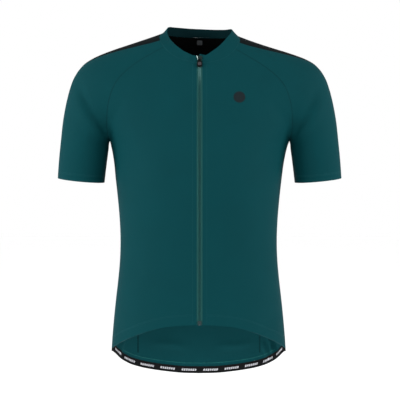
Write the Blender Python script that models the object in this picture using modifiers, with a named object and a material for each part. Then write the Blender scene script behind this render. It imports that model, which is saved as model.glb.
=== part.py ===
"""Short-sleeved cycling jersey, worn form, open and hollow.

Metres, +Z up, +X to the wearer's left, front towards -Y. The origin is in the
middle of the neck, level with the shoulder ends of the collar seam.

The cloth follows one closed form. At each height its half depth squared is a
trunk lobe joined smoothly to an arm lobe, so front and back meet in the plane
Y = 0 along the outline. Panels are cut from that form along the seams, given
their wall inwards, and kept a seam gap apart.
"""

import math

import bmesh
import bpy
import numpy as np
from mathutils import Matrix

MM = 0.001

CLOTH_WALL = 1.4 * MM
COLLAR_WALL = 1.8 * MM
BAND_WALL = 1.8 * MM
POCKET_WALL = 1.2 * MM
SEAM_GAP = 0.3 * MM
LAYER_GAP = 0.4 * MM

ARMPIT_HEIGHT = -220.9 * MM
ZIP_SLOT_HALF = 6.0 * MM
HEM_BAND_HEIGHT = 15.0 * MM
LOBE_JOIN = 3.0
ARM_END = -340.0 * MM
FOLD_FADE = 40.0 * MM

# Half width of the black shoulder inserts in plan, out to their tips.
SHOULDER_BAND = (
    # across, half_width (mm)
    (60.0, 31.0),
    (81.0, 30.0),
    (118.0, 27.5),
    (140.0, 23.0),
    (160.0, 20.0),
    (203.0, 15.0),
    (230.0, 8.0),
    (248.0, 0.0),
    (310.0, 0.0),
)
BAND_TIP_BACK = 1.5 * MM

# Outer line of shoulders and sleeves, seen from the front.
OUTLINE = (
    # height, half_width (mm)
    (35.0, 0.0),
    (20.0, 40.0),
    (4.7, 81.0),
    (-1.3, 97.0),
    (-8.4, 117.2),
    (-15.5, 138.5),
    (-22.4, 159.8),
    (-29.2, 181.1),
    (-36.7, 202.4),
    (-45.4, 223.7),
    (-55.5, 241.5),
    (-67.3, 254.0),
    (-86.0, 266.6),
    (-110.5, 276.0),
    (-134.0, 282.2),
    (-176.6, 290.3),
    (-219.2, 295.1),
    (-261.8, 299.3),
    (-300.0, 302.0),
    (-330.0, 303.5),
)

# How far the trunk lobe stays inside the outline above the armpit.
TRUNK_TUCK = (
    # height, tuck (mm)
    (35.0, 0.0),
    (-40.0, 0.0),
    (-60.0, 0.0),
    (-75.0, 0.4),
    (-90.0, 3.2),
    (-110.0, 13.0),
    (-130.0, 33.0),
    (-150.0, 54.5),
    (-170.0, 73.5),
    (-190.0, 88.0),
    (-203.0, 95.2),
    (-220.9, 104.1),
    (-235.0, 110.0),
)

# Side line of the trunk below the armpit.
SIDE_LINE = (
    # height, half_width (mm)
    (-205.0, 198.0),
    (-220.9, 191.1),
    (-240.5, 185.6),
    (-261.8, 181.5),
    (-304.4, 176.3),
    (-347.0, 171.6),
    (-389.6, 168.0),
    (-432.2, 166.4),
    (-474.8, 167.6),
    (-517.4, 171.4),
    (-560.1, 176.3),
    (-602.7, 180.6),
    (-645.3, 184.1),
    (-670.0, 185.6),
    (-740.0, 187.0),
)

# Depth of the trunk on the centre line and how square its section is.
TRUNK = (
    # height, front (mm), back (mm), squareness
    (35.0, 0.0, 0.0, 2.0),
    (20.0, 25.8, 47.4, 2.0),
    (6.0, 36.0, 66.0, 2.0),
    (-27.0, 52.5, 84.0, 2.1),
    (-63.0, 67.0, 97.0, 2.3),
    (-100.0, 84.0, 107.0, 2.6),
    (-150.0, 101.0, 115.0, 2.9),
    (-200.0, 113.0, 118.0, 2.8),
    (-250.0, 120.0, 117.5, 2.6),
    (-300.0, 120.5, 113.5, 2.5),
    (-350.0, 117.0, 107.0, 2.5),
    (-400.0, 113.0, 102.0, 2.5),
    (-450.0, 110.5, 101.0, 2.5),
    (-500.0, 110.5, 105.0, 2.5),
    (-550.0, 113.0, 112.0, 2.4),
    (-600.0, 116.0, 118.0, 2.4),
    (-660.0, 118.0, 122.0, 2.3),
    (-740.0, 119.0, 123.0, 2.3),
)

# Inner line and depth of the arm lobe.
ARM = (
    # height, inner_line, front, back (mm)
    (35.0, 0.0, 0.0, 0.0),
    (-10.0, 60.0, 3.0, 3.0),
    (-30.0, 95.0, 20.0, 22.0),
    (-50.0, 108.0, 36.0, 40.0),
    (-70.0, 117.0, 48.0, 52.0),
    (-90.0, 124.0, 57.0, 60.0),
    (-110.0, 131.0, 62.0, 65.0),
    (-130.0, 139.0, 65.0, 67.0),
    (-150.0, 147.0, 66.0, 68.0),
    (-170.0, 157.0, 65.5, 67.5),
    (-190.0, 169.0, 64.0, 66.0),
    (-203.0, 178.5, 62.5, 64.5),
    (-220.9, 191.1, 60.5, 62.5),
    (-240.0, 194.0, 58.5, 60.0),
    (-260.0, 196.6, 56.5, 58.0),
    (-300.0, 201.4, 53.5, 54.5),
    (-330.0, 204.5, 52.0, 53.0),
)

# Collar seam, seen from the front, from the zip to the shoulder ridge.
NECK_FRONT = (
    # across, height (mm)
    (6.0, -63.2),
    (18.0, -61.2),
    (32.0, -57.8),
    (50.0, -51.0),
    (66.0, -39.8),
    (76.5, -28.5),
)
NECK_SHOULDER = (
    (76.5, -28.5),
    (82.5, -18.5),
    (85.2, -10.0),
    (84.6, -2.0),
    (81.0, 4.7),
)
NECK_SIDE_BACK = (
    (81.0, 4.7),
    (72.0, 5.2),
    (60.0, 5.6),
    (46.0, 5.9),
)
NECK_BACK = (
    (46.0, 5.9),
    (30.0, 6.0),
    (14.0, 6.0),
    (0.0, 6.0),
)

# Raglan seams, from the armpit up to the collar.
RAGLAN_FRONT = (
    # across, height (mm)
    (191.1, -220.9),
    (193.5, -205.0),
    (193.0, -165.0),
    (187.5, -135.0),
    (175.0, -104.0),
    (152.0, -78.0),
    (125.0, -57.5),
    (98.0, -41.0),
    (76.5, -28.5),
)
RAGLAN_BACK = (
    (191.1, -220.9),
    (192.0, -203.0),
    (187.0, -165.0),
    (174.0, -126.0),
    (152.0, -89.0),
    (123.0, -53.0),
    (92.0, -24.0),
    (66.0, -5.5),
    (46.0, 5.9),
)

# Lower edges: front hem, and top edge of the elastic band behind.
FRONT_HEM = (
    # across, height (mm)
    (0.0, -604.0),
    (30.0, -604.8),
    (50.0, -606.5),
    (74.0, -609.6),
    (102.0, -617.0),
    (130.0, -627.5),
    (156.0, -640.0),
    (172.0, -649.5),
    (186.0, -661.2),
)
BACK_HEM = (
    (0.0, -715.0),
    (40.0, -713.8),
    (72.0, -710.0),
    (105.0, -704.2),
    (132.0, -697.0),
    (155.0, -686.5),
    (170.0, -675.0),
    (186.0, -653.7),
)
FRONT_CORNER_HEIGHT = -661.2 * MM
BACK_CORNER_HEIGHT = -653.7 * MM

# Sleeve lines up to the armpit, outer end to inner end.
CUFF_OUTER_HEIGHT = -300.0 * MM
CUFF_INNER_HEIGHT = -309.7 * MM
ARMPIT_OUTER_HEIGHT = -210.0 * MM
CUFF_DIP = 0.075
CUFF_DIP_LEVELS = (-250.0 * MM, -300.0 * MM)

# Top edge of the collar, round the neck from the zip to the nape.
COLLAR_TOP = (
    # angle (degrees), height (mm)
    (0.0, -46.8),
    (11.0, -44.8),
    (25.0, -38.0),
    (41.0, -26.5),
    (63.0, -9.0),
    (80.0, 6.5),
    (90.0, 13.5),
    (100.0, 18.5),
    (112.0, 22.0),
    (130.0, 23.6),
    (180.0, 24.2),
)
COLLAR_HALF_WIDTH = 70.0 * MM
COLLAR_FRONT_DEPTH = 63.5 * MM
COLLAR_BACK_DEPTH = 64.0 * MM

# Largest soft folds: a ridge (+) or trough (-) between two points of the
# front view, with its half breadth and height.
FOLDS = (
    # side, across_1, height_1, across_2, height_2, breadth, rise (mm)
    (-1, 203.0, -196.0, 248.0, -120.0, 13.0, -5.0),
    (-1, 216.0, -208.0, 262.0, -146.0, 15.0, 3.0),
    (-1, 168.0, -222.0, 120.0, -300.0, 26.0, -3.0),
    (-1, 150.0, -520.0, 96.0, -602.0, 30.0, 2.2),
    (+1, 200.0, -196.0, 240.0, -116.0, 15.0, -5.0),
    (+1, 172.0, -200.0, 96.0, -246.0, 24.0, -4.5),
    (+1, 150.0, -360.0, 60.0, -402.0, 26.0, -3.0),
    (+1, 150.0, -410.0, 74.0, -440.0, 22.0, 2.5),
)

# The shoulders don't hang quite level and the trunk leans a little.
SHOULDER_UNEVEN = 2.8 * MM
SHOULDER_SPAN = 260.0 * MM
SHOULDER_LEVELS = (-200.0 * MM, -50.0 * MM)
TRUNK_SWAY = 2.0 * MM
TRUNK_SWAY_HALF = 150.0 * MM
TRUNK_SWAY_LEVELS = (-300.0 * MM, -200.0 * MM)
TRUNK_SWAY_EDGE = 189.0 * MM

# How finely each panel is drawn.
FRONT_COLUMNS = 9
BACK_COLUMNS = 10
SIDE_ROWS = 14
RAGLAN_ROWS = 10
SLEEVE_ROWS = 6
SLEEVE_COLUMNS = 8
BAND_COLUMNS = 3
COLLAR_ROWS = 3

# Columns crowd towards the side seam below the armpit (90 degrees), less above it.
SIDE_TURN = 90.0
RAGLAN_TURN = (66.0, 30.0)
RAGLAN_TURN_RUN = 0.3
HEM_REACH = 0.35

POCKET_COLUMN = 6
POCKET_FIRST_ROW = 1
POCKET_LAST_ROW = 7

# Zip.
TAPE_HALF_WIDTH = 13.0 * MM
TAPE_WALL = 1.0 * MM
TAPE_GAP = 0.5 * MM
COIL_HALF_WIDTH = 3.0 * MM
COIL_PROUD = 0.3 * MM
ZIP_PART = 0.15 * MM
TAPE_START = 0.02
COIL_START = 0.18
STOP_HALF_WIDTH = 3.8 * MM
STOP_PROUD = 1.3 * MM
STOP_LENGTH = 8.5 * MM
STOP_ROUNDING = 0.5 * MM
GUARD_REACH = (-1.0 * MM, 12.5 * MM)
GUARD_WALL = 1.3 * MM
GUARD_ABOVE = 0.45

# Slider and pull tab, measured across, down the zip and out from it.
SLIDER_HEIGHT = -52.3 * MM
SLIDER_OUTLINE = (
    # across, down (mm), one side
    (3.6, -6.0),
    (5.2, -4.6),
    (5.2, -0.4),
    (3.7, 3.4),
    (3.5, 6.0),
)
SLIDER_NEAR = 0.8 * MM
SLIDER_FAR = 2.5 * MM
LUG_HALF_SPACING = 2.8 * MM
LUG_WIDTH = 1.2 * MM
LUG_HALF_LENGTH = 1.6 * MM
LUG_SUNK = 0.4 * MM
SLIDER_ROUNDING = 0.35 * MM
LUG_ROUNDING = 0.3 * MM
PIN_RADIUS = 0.55 * MM
PIN_DOWN = 2.6 * MM
PIN_OUT = 4.4 * MM
PIN_OVERHANG = 0.3 * MM
PULL_OUTLINE = (
    # across, down from the pin (mm), one side
    (1.8, 0.0),
    (1.8, 3.2),
    (4.0, 4.9),
    (5.2, 6.6),
    (5.2, 14.2),
    (4.2, 15.9),
    (2.4, 16.5),
)
PULL_THICKNESS = 1.8 * MM
PULL_EYE_RADIUS = 1.5 * MM
PULL_HOLE_RADIUS = 0.9 * MM
PULL_ROUNDING = 0.4 * MM
PULL_TILT = 10.0

PETROL = (0.006, 0.061, 0.069)
BLACK_KNIT = (0.010, 0.016, 0.018)
BLACK_ELASTIC = (0.007, 0.007, 0.008)
ZIP_GREEN = (0.022, 0.080, 0.078)
STEEL = (0.62, 0.62, 0.62)
CHARCOAL = (0.020, 0.019, 0.021)
STOP_GREY = (0.10, 0.11, 0.10)


def empty_scene():
    """Remove every object the file opened with."""
    for item in list(bpy.data.objects):
        bpy.data.objects.remove(item, do_unlink=True)


def table(rows):
    """Rows of millimetres as columns of metres, heights rising."""
    columns = np.array(sorted(rows), dtype=float).T
    return columns * MM


def follow(knots, values, at):
    """Smooth curve through (knots, values), read at the places in at."""
    slopes = np.gradient(values, knots)
    index = np.clip(np.searchsorted(knots, at) - 1, 0, len(knots) - 2)
    step = knots[index + 1] - knots[index]
    t = np.clip((at - knots[index]) / step, 0.0, 1.0)
    rise = values[index + 1] - values[index]
    bend_low = step * slopes[index] - rise
    bend_high = rise - step * slopes[index + 1]
    ease = t * (1.0 - t) * (bend_low * (1.0 - t) + bend_high * t)
    return values[index] + rise * t + ease


def outline_half_width(height):
    """Half width of the outer line of shoulders and sleeves."""
    heights, half = table(OUTLINE)
    return follow(heights, half, height)


def trunk_half_width(height):
    """Half width of the trunk lobe above and below the armpit."""
    heights, tuck = table(TRUNK_TUCK)
    upper = outline_half_width(height) - np.maximum(follow(heights, tuck, height), 0.0)
    heights, half = table(SIDE_LINE)
    lower = follow(heights, half, height)
    return np.where(height > ARMPIT_HEIGHT, upper, lower)


def depth_squared(across, height, side):
    """Squared half depth of the form; negative outside the outline."""
    heights, front, back, _ = table(TRUNK)
    depth = front if side < 0 else back
    square = table(TRUNK)[3] / MM
    power = follow(heights, square, height)
    reach = follow(heights, depth**2, height)
    spread = np.abs(across) / trunk_half_width(height)
    trunk = reach * (1.0 - spread**power)
    heights, inner, front, back = table(ARM)
    depth = front if side < 0 else back
    inner_line = follow(heights, inner, height)
    outer_line = outline_half_width(height)
    middle = (inner_line + outer_line) / 2.0
    half = (outer_line - inner_line) / 2.0
    arm = follow(heights, depth**2, height)
    arm = arm * (1.0 - ((np.abs(across) - middle) / half) ** 2)
    arm = np.where(height < ARM_END, -1.0, arm)
    joined = np.maximum(trunk, 0.0) ** LOBE_JOIN + np.maximum(arm, 0.0) ** LOBE_JOIN
    outside = np.maximum(trunk, arm)
    return np.where(outside < 0.0, outside, joined ** (1.0 / LOBE_JOIN))


def fold_rise(across, height, depth, side):
    """Height of the soft folds at a point, fading out towards the outline."""
    rise = np.zeros_like(across)
    for fold_side, x1, z1, x2, z2, breadth, amount in FOLDS:
        if fold_side != side:
            continue
        run = np.array([x2 - x1, z2 - z1]) * MM
        length = math.hypot(*run)
        along = ((np.abs(across) - x1 * MM) * run[0] + (height - z1 * MM) * run[1]) / length**2
        clear = ((np.abs(across) - x1 * MM) * run[1] - (height - z1 * MM) * run[0]) / length
        profile = np.exp(-((clear / (breadth * MM)) ** 2))
        ends = np.exp(-((2.0 * along - 1.0) ** 4))
        rise += amount * MM * profile * ends
    return rise * np.clip(depth / FOLD_FADE, 0.0, 1.0) ** 2


def skin(across, height, side):
    """Outer face of the cloth and its outward direction at points of the front view."""
    small = 0.2 * MM
    squared = np.maximum(depth_squared(across, height, side), 0.0)
    depth = np.sqrt(squared)
    slope_x = depth_squared(across + small, height, side) - depth_squared(across - small, height, side)
    slope_z = depth_squared(across, height + small, side) - depth_squared(across, height - small, side)
    normal = np.stack(
        [-slope_x / (2 * small), 2.0 * side * depth, -slope_z / (2 * small)], axis=-1
    )
    normal /= np.linalg.norm(normal, axis=-1, keepdims=True)
    point = np.stack([across, side * depth, height], axis=-1)
    rise = fold_rise(across, height, depth, side)
    return point + normal * rise[..., None], normal


def walk(points, count):
    """Points evenly spaced along a smooth curve through a short list of points."""
    points = np.array(points, dtype=float) * MM
    steps = np.linalg.norm(np.diff(points, axis=0), axis=1)
    knots = np.concatenate([[0.0], np.cumsum(steps)])
    fine = np.linspace(0.0, knots[-1], 400)
    curve = np.stack([follow(knots, points[:, i], fine) for i in range(points.shape[1])], axis=1)
    gaps = np.linalg.norm(np.diff(curve, axis=0), axis=1)
    travelled = np.concatenate([[0.0], np.cumsum(gaps)])
    even = np.linspace(0.0, travelled[-1], count + 1)
    return np.stack([np.interp(even, travelled, curve[:, i]) for i in range(2)], axis=1)


def outline_walk(low, high, count):
    """Points evenly spaced along the outer line between two heights."""
    heights = np.linspace(low, high, 600)
    curve = np.stack([outline_half_width(heights), heights], axis=1)
    gaps = np.linalg.norm(np.diff(curve, axis=0), axis=1)
    travelled = np.concatenate([[0.0], np.cumsum(gaps)])
    even = np.linspace(0.0, travelled[-1], count + 1)
    spaced = np.interp(even, travelled, heights)
    return np.stack([outline_half_width(spaced), spaced], axis=1)


def raglan_front():
    """Front raglan seam, armpit first."""
    return walk(RAGLAN_FRONT, RAGLAN_ROWS)


def raglan_back():
    """Back raglan seam, armpit first."""
    return walk(RAGLAN_BACK, RAGLAN_ROWS)


def side_heights():
    """Heights of the rows down the side seam, back corner to armpit."""
    return np.linspace(BACK_CORNER_HEIGHT, ARMPIT_HEIGHT, SIDE_ROWS + 1)


def turned_share(columns, turn):
    """Shares of the way across a row; turn in degrees crowds them at the far end."""
    angles = np.radians(turn) * np.linspace(0.0, 1.0, columns + 1)
    return np.sin(angles) / math.sin(math.radians(turn))


def panel_rows(outer, hem, neck_line, inner_edge, columns):
    """Rows of a half panel in the front view, from the centre edge to the outer seam."""
    lengths = np.linalg.norm(np.diff(outer, axis=0), axis=1)
    share = np.concatenate([[0.0], np.cumsum(lengths)])
    share /= share[-1]
    armpit = len(outer) - 1 - RAGLAN_ROWS
    low = hem[0][1] * MM
    high = neck_line[0, 1]
    hem_share, hem_rise = share_curve(hem)
    rows = []
    for row, (edge_x, edge_z) in enumerate(outer):
        above = min(1.0, max(0.0, share[row] - share[armpit]) / RAGLAN_TURN_RUN)
        turn = SIDE_TURN if above == 0.0 else RAGLAN_TURN[0] + (RAGLAN_TURN[1] - RAGLAN_TURN[0]) * above
        part = turned_share(columns, turn)
        x = inner_edge + (edge_x - inner_edge) * part
        centre = low + (high - low) * share[row]
        near_hem = max(0.0, 1.0 - share[row] / HEM_REACH) ** 2
        bow = part**2 * (1.0 - near_hem) + np.interp(x / edge_x, hem_share, hem_rise) * near_hem
        rows.append(np.stack([x, centre + (edge_z - centre) * bow], axis=1))
    rows = np.array(rows)
    change = neck_line - rows[-1]
    for row in range(armpit, len(rows)):
        rows[row] += change * ((row - armpit) / RAGLAN_ROWS) ** 3
    return rows


def share_curve(points):
    """A curve as (share across, share of its rise), both from 0 to 1."""
    across, height = np.array(points, dtype=float).T
    whole = (across - across[0]) / (across[-1] - across[0])
    rise = (height - height[0]) / (height[-1] - height[0])
    fine = np.linspace(0.0, 1.0, 200)
    return fine, follow(whole, rise, fine)


def front_rows():
    """Front panel of the wearer's left side in the front view."""
    heights = np.concatenate([[FRONT_CORNER_HEIGHT], side_heights()[:-1]])
    side = np.stack([trunk_half_width(heights), heights], axis=1)
    outer = np.concatenate([side, raglan_front()])
    return panel_rows(outer, FRONT_HEM, walk(NECK_FRONT, FRONT_COLUMNS), ZIP_SLOT_HALF, FRONT_COLUMNS)


def back_rows():
    """Left half of the back panel in the front view."""
    heights = side_heights()[:-1]
    side = np.stack([trunk_half_width(heights), heights], axis=1)
    outer = np.concatenate([side, raglan_back()])
    return panel_rows(outer, BACK_HEM, walk(NECK_BACK[::-1], BACK_COLUMNS), 0.0, BACK_COLUMNS)


def sleeve_lines():
    """Outer and inner ends of the sleeve's rows, front and back, cuff first."""
    low = outline_walk(CUFF_OUTER_HEIGHT, ARMPIT_OUTER_HEIGHT, SLEEVE_ROWS)
    high = outline_walk(ARMPIT_OUTER_HEIGHT, NECK_SHOULDER[-1][1] * MM, RAGLAN_ROWS)
    outer = np.concatenate([low[:-1], high])
    heights = np.linspace(CUFF_INNER_HEIGHT, ARMPIT_HEIGHT, SLEEVE_ROWS + 1)[:-1]
    arm_heights, inner, _, _ = table(ARM)
    under = np.stack([follow(arm_heights, inner, heights), heights], axis=1)
    front = np.concatenate([under, raglan_front()])
    back = np.concatenate([under, raglan_back()])
    return outer, front, back


def band_reach(across):
    """Half width of the shoulder band in plan at a point of the outer line."""
    knots, half = table(SHOULDER_BAND)
    return float(np.interp(across, knots, half))


def row_samples(start, end, curve, side):
    """Fine points of a sleeve row with the depth of the form at each."""
    if curve is None:
        share = np.linspace(0.0, 1.0, 500)[:, None] ** 2
        line = start + (end - start) * share
    else:
        line = curve
    depth = np.sqrt(np.maximum(depth_squared(line[:, 0], line[:, 1], side), 0.0))
    return line, depth


def spaced_along(line, depth, first, count):
    """Even points along a sleeve row, from where it reaches the depth first."""
    stretch = np.concatenate([line, depth[:, None]], axis=1)
    steps = np.linalg.norm(np.diff(stretch, axis=0), axis=1)
    travelled = np.concatenate([[0.0], np.cumsum(steps)])
    begin = 0.0
    if first > 0.0:
        past = int(np.argmax(depth >= first))
        span = (first - depth[past - 1]) / (depth[past] - depth[past - 1])
        begin = travelled[past - 1] + span * (travelled[past] - travelled[past - 1])
    even = np.linspace(begin, travelled[-1], count + 1)
    return np.stack([np.interp(even, travelled, line[:, i]) for i in range(2)], axis=1)


def depth_points(line, depth, wanted):
    """Points of a sleeve row where the form reaches the wanted depths."""
    past = int(np.argmax(depth)) + 1
    return np.stack([np.interp(wanted, depth[:past], line[:past, i]) for i in range(2)], axis=1)


def neck_row(side):
    """The collar seam across the top of the sleeve, ridge first."""
    points = NECK_SHOULDER[::-1] if side < 0 else NECK_SIDE_BACK
    return walk(points, 400)


def sleeve_half(side):
    """Front or back half of the left sleeve, and of the shoulder band, in the front view."""
    outer, front, back = sleeve_lines()
    inner = front if side < 0 else back
    sleeve = []
    band = []
    for row, (start, end) in enumerate(zip(outer, inner)):
        curve = neck_row(side) if row == len(outer) - 1 else None
        line, depth = row_samples(start, end, curve, side)
        reach = band_reach(start[0])
        sleeve.append(spaced_along(line, depth, reach, SLEEVE_COLUMNS))
        if reach == 0.0:
            band = [np.repeat(line[:1], BAND_COLUMNS + 1, axis=0)]
        else:
            wanted = reach * np.linspace(0.0, 1.0, BAND_COLUMNS + 1)
            band.append(depth_points(line, depth, wanted))
    return np.array(sleeve), np.array(band)


def ramp(value, low, high):
    """Share of the way from low to high, from 0 to 1."""
    return np.clip((value - low) / (high - low), 0.0, 1.0)


def settle(points):
    """Let the shoulders hang a little unevenly and the trunk lean a little."""
    across, _, height = np.moveaxis(points, -1, 0)
    high = ramp(height, *SHOULDER_LEVELS)
    high = high * high * (3.0 - 2.0 * high)
    swing = np.sin(np.pi * ramp(np.abs(across), 0.0, SHOULDER_SPAN))
    low = ramp(height, *TRUNK_SWAY_LEVELS[::-1]) * (np.abs(across) < TRUNK_SWAY_EDGE)
    moved = points.copy()
    moved[..., 2] -= SHOULDER_UNEVEN * swing * high * np.sign(across)
    moved[..., 0] -= TRUNK_SWAY * ramp(np.abs(across), 0.0, TRUNK_SWAY_HALF) ** 2 * low
    return moved


def shrink_edge(layer, rows, columns, inner_rows, inner_columns, amount=SEAM_GAP / 2.0):
    """Draw an edge of a grid of points back from its seam."""
    edge = layer[rows, columns]
    towards = layer[inner_rows, inner_columns] - edge
    towards /= np.linalg.norm(towards, axis=-1, keepdims=True)
    layer[rows, columns] = edge + towards * amount


def cloth_layers(view, side, wall=CLOTH_WALL, lift=0.0):
    """Outer and inner points of a piece given by its points in the front view."""
    point, normal = skin(view[..., 0], view[..., 1], side)
    return point + normal * lift, point + normal * (lift - wall)


def grid_faces(rows, columns, start=0):
    """Quads of a grid of points counted row by row."""
    index = np.arange(rows * columns).reshape(rows, columns) + start
    corners = [index[:-1, :-1], index[:-1, 1:], index[1:, 1:], index[1:, :-1]]
    return np.stack([corner.ravel() for corner in corners], axis=1)


def split_quads(quads, points):
    """Triangles of quads, each split along its shorter diagonal."""
    first = np.linalg.norm(points[quads[:, 0]] - points[quads[:, 2]], axis=1)
    second = np.linalg.norm(points[quads[:, 1]] - points[quads[:, 3]], axis=1)
    turned = np.where((first <= second)[:, None], quads, np.roll(quads, -1, axis=1))
    halves = np.concatenate([turned[:, (0, 1, 2)], turned[:, (0, 2, 3)]])
    return [corners for corners in halves.tolist() if len(set(corners)) == 3]


def build_shell(name, patches, material, mirror=False):
    """One closed solid from patches of (outer, inner) grids welded along shared points."""
    mesh = bpy.data.meshes.new(name)
    faces = []
    count = 0
    for outer, _ in patches:
        rows, columns = outer.shape[:2]
        faces.extend(grid_faces(rows, columns, count).tolist())
        count += rows * columns
    outside = np.concatenate([outer.reshape(-1, 3) for outer, _ in patches])
    inside = np.concatenate([inner.reshape(-1, 3) for _, inner in patches])
    _, first, back = np.unique(
        np.round(outside / (0.001 * MM)).astype(np.int64), axis=0, return_index=True, return_inverse=True
    )
    back = back.ravel()
    outside = outside[first]
    inside = inside[first]
    faces = split_quads(back[np.array(faces)], outside)
    total = len(first)
    edges = {pair for face in faces for pair in zip(face, face[1:] + face[:1])}
    rim = [(a, b) for a, b in sorted(edges) if (b, a) not in edges]
    every = list(faces)
    every += [[corner + total for corner in reversed(face)] for face in faces]
    every += [(b, a, a + total, b + total) for a, b in rim]
    corners = settle(np.concatenate([outside, inside]) * ((-1.0, 1.0, 1.0) if mirror else 1.0))
    mesh.from_pydata(corners.tolist(), [], every)
    return finish_mesh(name, mesh, material)


def finish_mesh(name, mesh, material):
    """Make the object, turn its faces outwards and shade it."""
    work = bmesh.new()
    work.from_mesh(mesh)
    bmesh.ops.recalc_face_normals(work, faces=work.faces)
    work.to_mesh(mesh)
    work.free()
    mesh.shade_smooth()
    mesh.set_sharp_from_angle(angle=math.radians(50.0))
    mesh.materials.append(material)
    item = bpy.data.objects.new(name, mesh)
    garment.objects.link(item)
    return item


def make_material(name, colour, roughness, metallic=0.0):
    """A plain principled finish."""
    material = bpy.data.materials.new(name)
    material.use_nodes = True
    shader = material.node_tree.nodes["Principled BSDF"]
    shader.inputs["Base Color"].default_value = (*colour, 1.0)
    shader.inputs["Roughness"].default_value = roughness
    shader.inputs["Metallic"].default_value = metallic
    return material


def shrink_sides(layers, top, bottom, near, far):
    """Draw back the named edges of both layers of a plain grid."""
    for layer in layers:
        if far:
            shrink_edge(layer, slice(None), -1, slice(None), -2)
        if near:
            shrink_edge(layer, slice(None), 0, slice(None), 1)
        if top:
            shrink_edge(layer, -1, slice(None), -2, slice(None))
        if bottom:
            shrink_edge(layer, 0, slice(None), 1, slice(None))


def build_fronts(material):
    """Both front panels."""
    view = front_rows()
    for name, mirror in (("front_left", False), ("front_right", True)):
        layers = cloth_layers(view, -1)
        shrink_sides(layers, top=True, bottom=False, near=False, far=True)
        build_shell(name, [layers], material, mirror)


def whole_back(view):
    """Both halves of a back piece as one grid, right side first."""
    other = view[:, :0:-1].copy()
    other[..., 0] *= -1.0
    return np.concatenate([other, view], axis=1)


def build_back(material):
    """Back panel from side seam to side seam."""
    layers = cloth_layers(whole_back(back_rows()), +1)
    shrink_sides(layers, top=True, bottom=True, near=True, far=True)
    build_shell("back", [layers], material)


def build_pocket(material):
    """Pouch on the lower back, made from the back's own points moved out."""
    view = whole_back(back_rows())
    middle = BACK_COLUMNS
    part = view[
        POCKET_FIRST_ROW : POCKET_LAST_ROW + 1, middle - POCKET_COLUMN : middle + POCKET_COLUMN + 1
    ]
    layers = cloth_layers(part, +1, POCKET_WALL, LAYER_GAP + POCKET_WALL)
    build_shell("back_pocket", [layers], material)


def build_hem_band(material):
    """Elastic band that carries the back hem down to its lowest line."""
    top = whole_back(back_rows())[0]
    rows = []
    for drop in (HEM_BAND_HEIGHT, HEM_BAND_HEIGHT / 2.0, 0.0):
        height = top[:, 1] - drop
        spread = trunk_half_width(height) / trunk_half_width(top[:, 1])
        rows.append(np.stack([top[:, 0] * spread, height], axis=1))
    layers = cloth_layers(np.array(rows), +1, BAND_WALL)
    shrink_sides(layers, top=True, bottom=False, near=True, far=True)
    build_shell("hem_band", [layers], material)


def cuff_dip(layer):
    """Tilt the cuff so that its front hangs lower than its back."""
    tilt = ramp(layer[..., 2], *CUFF_DIP_LEVELS)
    layer[..., 2] += CUFF_DIP * layer[..., 1] * tilt


def build_sleeves(material):
    """Both raglan sleeves: two half grids welded over the arm and under it."""
    patches = []
    for side in (-1, +1):
        view, band = sleeve_half(side)
        layers = cloth_layers(view, side)
        tip = len(view) - len(band)
        for layer in layers:
            cuff_dip(layer)
            shrink_edge(layer, slice(SLEEVE_ROWS + 1, None), -1, slice(SLEEVE_ROWS + 1, None), -2)
            shrink_edge(layer, SLEEVE_ROWS, -1, SLEEVE_ROWS - 1, -1)
            shrink_edge(layer, slice(tip + 1, None), 0, slice(tip + 1, None), 1)
            shrink_edge(layer, -1, slice(None), -2, slice(None))
        patches.append([layer[:, ::-side] for layer in layers])
    for name, mirror in (("sleeve_left", False), ("sleeve_right", True)):
        build_shell(name, patches, material, mirror)


def build_shoulder_bands(material):
    """Black inserts along the shoulder ridges, pointed at the shoulder tip."""
    patches = []
    for side in (-1, +1):
        _, view = sleeve_half(side)
        layers = cloth_layers(view, side)
        for layer in layers:
            towards = layer[1, 0] - layer[0, 0]
            layer[0] += towards * BAND_TIP_BACK / np.linalg.norm(towards)
            shrink_edge(layer, slice(1, None), -1, slice(1, None), -2)
            shrink_edge(layer, -1, slice(None), -2, slice(None))
        patches.append([layer[:, ::-side] for layer in layers])
    for name, mirror in (("shoulder_band_left", False), ("shoulder_band_right", True)):
        build_shell(name, patches, material, mirror)


def collar_seam():
    """Left half of the collar seam in space, from the zip round to the nape."""
    sleeve_front, band_front = (part[-1] for part in sleeve_half(-1))
    sleeve_back, band_back = (part[-1] for part in sleeve_half(+1))
    front = np.concatenate([front_rows()[-1], sleeve_front[::-1][1:], band_front[::-1][1:]])
    back = np.concatenate([band_back[1:], sleeve_back[1:], back_rows()[-1][::-1][1:]])
    return np.concatenate([skin(*front.T, -1)[0], skin(*back.T, +1)[0]])


def collar_layers():
    """Outer and inner points of the whole collar, wearer's left zip end first."""
    seam = collar_seam()
    depth = np.where(seam[:, 1] < 0.0, COLLAR_FRONT_DEPTH, COLLAR_BACK_DEPTH)
    angle = np.arctan2(seam[:, 0] / COLLAR_HALF_WIDTH, -seam[:, 1] / depth)
    turns, heights = np.array(COLLAR_TOP).T
    top = np.stack(
        [
            COLLAR_HALF_WIDTH * np.sin(angle),
            -depth * np.cos(angle),
            follow(turns, heights * MM, np.degrees(angle)),
        ],
        axis=1,
    )
    top[0, 0] = ZIP_SLOT_HALF
    shares = np.linspace(0.0, 1.0, COLLAR_ROWS + 1)
    left = np.array([seam + (top - seam) * share for share in shares])
    right = left[:, -2::-1] * (-1.0, 1.0, 1.0)
    ring = np.concatenate([left, right], axis=1)
    normal = np.cross(np.gradient(ring, axis=1), np.gradient(ring, axis=0))
    normal /= np.linalg.norm(normal, axis=-1, keepdims=True)
    layers = [ring, ring - normal * COLLAR_WALL]
    for layer in layers:
        shrink_edge(layer, 0, slice(None), 1, slice(None), SEAM_GAP)
    return layers


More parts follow.
